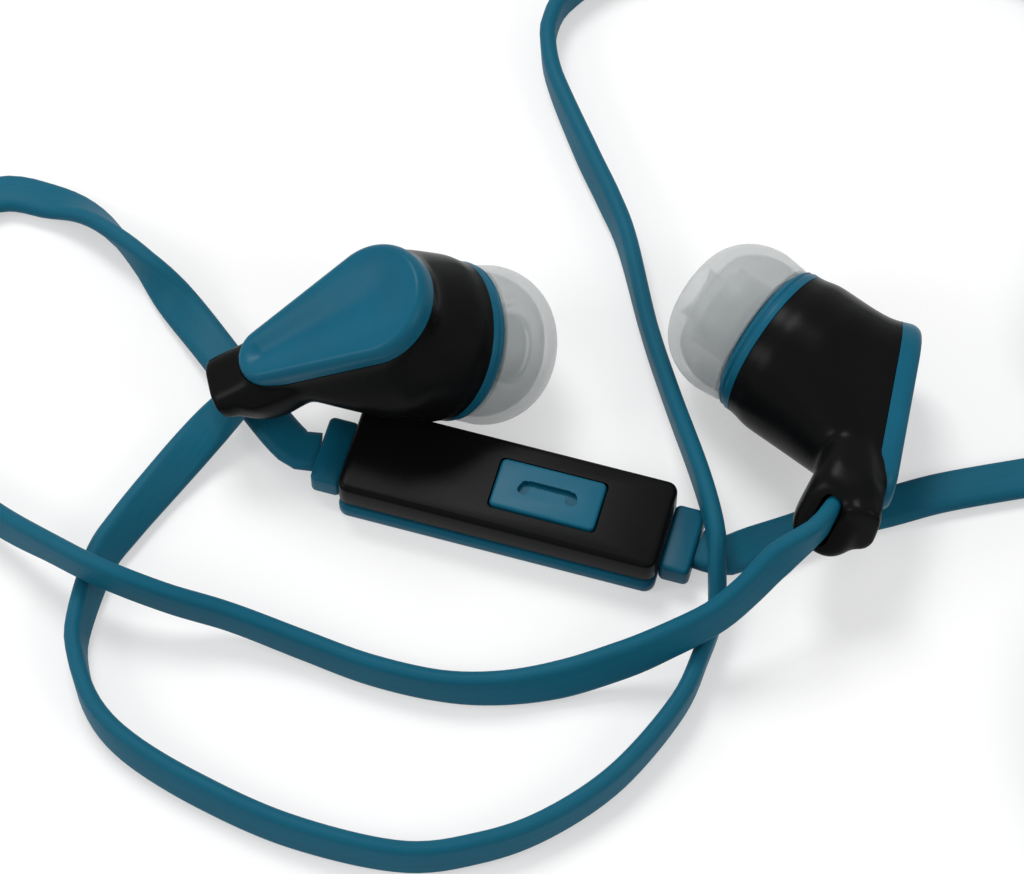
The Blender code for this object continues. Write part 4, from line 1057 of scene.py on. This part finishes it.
class EARPHONES_OT_plug(bpy.types.Operator):
    """Ribbed grip and tapered boot of the plug"""

    bl_idname = "earphones.plug"
    bl_label = "Plug"

    def execute(self, context):
        heading = Vector((math.sin(TAIL_END), -math.cos(TAIL_END), 0))
        place = Vector((COIL_CENTRE.x, COIL_CENTRE.y, PLUG_LEVEL))
        place += TAIL_RADIUS * Vector((math.cos(TAIL_END), math.sin(TAIL_END), 0))
        place += (TAIL_STRAIGHT + GAP) * heading
        across = Vector((0, 0, 1)).cross(heading)
        turn = Matrix((across, heading.cross(across), heading)).transposed().to_4x4()
        pose = Matrix.Translation(place) @ turn
        boot = spun("boot", in_metres(BOOT_PROFILE), closed=False, edge=BOOT_EDGE)
        settle(boot, pose, "blue_plastic", "set", ["plug_boot"])
        profile = list(GRIP_FRONT_PROFILE)
        for i in range(GRIP_RIBS):
            level = GRIP_RIB_START - GRIP_RIB_PITCH * i
            profile += [(radius, level - fall) for radius, fall in GRIP_RIB_PROFILE]
        profile += GRIP_BACK_PROFILE
        grip = spun("grip", in_metres(profile), closed=False, edge=GRIP_EDGE)
        settle(grip, pose, "black_plastic", "set", ["plug_grip"])
        return {"FINISHED"}


class EARPHONES_OT_tie(bpy.types.Operator):
    """Strap round the coil of cord"""

    bl_idname = "earphones.tie"
    bl_label = "Coil tie"

    def execute(self, context):
        pose = Matrix.Translation(COIL_CENTRE) @ Matrix.Rotation(TIE_TURN, 4, "Z")
        span, height = TIE_OUTER - TIE_INNER, TIE_TOP + MM
        strap = rounded_block("strap", (span + 2 * MM, height, TIE_WIDTH), (0, 0, 0),
                              TIE_CORNER, TIE_EDGE)
        cut(strap, rounded_block("opening", (span, TIE_TOP - MM, 2 * TIE_WIDTH), (0, 0, 0),
                                 TIE_OPENING_CORNER))
        stand = (Matrix.Translation(((TIE_INNER + TIE_OUTER) / 2, 0, height / 2))
                 @ Matrix.Rotation(math.pi / 2, 4, "X"))
        settle(strap, pose @ stand, "dark_rubber", "set", ["coil_tie"])
        return {"FINISHED"}


class EARPHONES_OT_inner(bpy.types.Operator):
    """Finishes of the pieces that are kept from the frame"""

    bl_idname = "earphones.inner"
    bl_label = "Kept pieces"

    def execute(self, context):
        subparts = frame["record"]["subparts"]
        slots = {entry["node"]: entry["material_slot"] for entry in subparts}
        for name, node in frame["nodes"].items():
            node.data.materials.clear()
            node.data.materials.append(FINISHES[slots[name]])
        return {"FINISHED"}


class EARPHONES_OT_declare_cords(bpy.types.Operator):
    """Gather each cord's length, far end, lay and riders, and turn backward paths round; nothing is
    kept or declared.
    """

    bl_idname = "earphones.declare_cords"
    bl_label = "Declare cords"

    def execute(self, context):
        held = bpy.data.objects
        on_plug = [held["grip"], held["boot"], held["strap"]]
        on_plug += [frame["nodes"][name] for name in (
            "plug_sleeve", "plug_ring_lower", "plug_ring_upper", "plug_tip", "plug_insulator",
        )]
        # Length in metres, far end, lay, what is on the cord, and whether it runs backwards.
        facts = {
            "left_branch": (0.248, "object", "loose", [held["splitter"]], False),
            "right_branch_upper": (0.155, "object", "loose", [], False),
            "right_branch_lower": (0.039, "object", "loose", [], True),
            "main_cord": (0.841, "plug", "coiled", on_plug, False),
        }
        for name, (length, far_end, lay, riders, backwards) in facts.items():
            cord, path = CORD_PATHS[name]
            path = path[::-1] if backwards else path
        return {"FINISHED"}


def seen_rays(tree):
    """One for rays that show the surround: straight, mirrored or passed through; else nought."""
    path = tree.nodes.new("ShaderNodeLightPath")
    straight, mirrored, through = (
        Wire(tree, path.outputs[name])
        for name in ("Is Camera Ray", "Is Glossy Ray", "Is Transmission Ray")
    )
    total = straight + mirrored + through
    return total.maths("MINIMUM", total, 1.0)


class EARPHONES_OT_stage(bpy.types.Operator):
    """Pale floor, soft lamps and a white surround"""

    bl_idname = "earphones.stage"
    bl_label = "Stage"

    def execute(self, context):
        context.scene.view_settings.view_transform = "Standard"
        bpy.ops.object.select_all(action="DESELECT")
        bpy.ops.mesh.primitive_plane_add(size=FLOOR_SIZE, location=(0, 0, -FLOOR_DROP))
        floor = context.object
        floor.name = "floor"
        finish = Finish("pale_floor")
        seen = seen_rays(finish.tree)
        finish.surface((FLOOR_TONE, FLOOR_TONE, FLOOR_TONE, 1.0), 0.9)
        glow = finish.node("ShaderNodeEmission", None, {"Color": (1, 1, 1, 1), "Strength": 1.0})
        lit = Wire(finish.tree, finish.shader.outputs[0])
        mixed = finish.node("ShaderNodeMixShader", None, {0: seen * FLOOR_GLOW, 1: lit, 2: glow})
        finish.tree.links.new(mixed.socket, finish.tree.nodes["Material Output"].inputs[0])
        floor.data.materials.append(finish.material)
        world = bpy.data.worlds.new("surround")
        context.scene.world = world
        world.use_nodes = True
        tree = world.node_tree
        back = tree.nodes["Background"]
        back.inputs[0].default_value = (1, 1, 1, 1)
        strength = seen_rays(tree) * (1 - SURROUND_LIGHT) + SURROUND_LIGHT
        tree.links.new(strength.socket, back.inputs[1])
        for name, (place, size, power) in LAMPS.items():
            data = bpy.data.lights.new(name, "AREA")
            data.size = size
            data.energy = power
            lamp = bpy.data.objects.new(name, data)
            lamp.location = place
            lamp.rotation_euler = Vector(place).to_track_quat("Z", "Y").to_euler()
            context.scene.collection.objects.link(lamp)
        return {"FINISHED"}


STEPS = (
    "camera", "cords", "body_shells", "front_shells", "ear_tips", "rear_caps", "remote", "button",
    "splitter", "plug", "tie", "inner", "declare_cords", "stage",
)


class EARPHONES_PT_sidebar(bpy.types.Panel):
    """Lists the earphones' pieces in the sidebar"""

    bl_idname = "EARPHONES_PT_sidebar"
    bl_label = "Earphones"
    bl_space_type = "VIEW_3D"
    bl_region_type = "UI"
    bl_category = "Earphones"

    def draw(self, context):
        for group in (context.scene.earphone_sizes, context.scene.earphone_colours):
            for name in group.bl_rna.properties.keys():
                if name not in {"rna_type", "name"}:
                    self.layout.prop(group, name)
        for step in STEPS:
            self.layout.operator(f"earphones.{step}")


CLASSES = (
    EarphoneSizes, EarphoneColours, EARPHONES_OT_camera, EARPHONES_OT_cords,
    EARPHONES_OT_body_shells, EARPHONES_OT_front_shells, EARPHONES_OT_ear_tips,
    EARPHONES_OT_rear_caps, EARPHONES_OT_remote, EARPHONES_OT_button, EARPHONES_OT_splitter,
    EARPHONES_OT_plug, EARPHONES_OT_tie, EARPHONES_OT_inner, EARPHONES_OT_declare_cords,
    EARPHONES_OT_stage, EARPHONES_PT_sidebar,
)


def register():
    """Register the classes and hang the settings on the scene."""
    for cls in CLASSES:
        bpy.utils.register_class(cls)
    bpy.types.Scene.earphone_sizes = bpy.props.PointerProperty(type=EarphoneSizes)
    bpy.types.Scene.earphone_colours = bpy.props.PointerProperty(type=EarphoneColours)


def unregister():
    """Take the settings and classes away again."""
    del bpy.types.Scene.earphone_sizes
    del bpy.types.Scene.earphone_colours
    for cls in reversed(CLASSES):
        bpy.utils.unregister_class(cls)


def main():
    """Build every piece in order."""
    register()
    FINISHES.update(make_finishes())
    for step in STEPS:
        getattr(bpy.ops.earphones, step)()


if __name__ == "__main__":
    main()
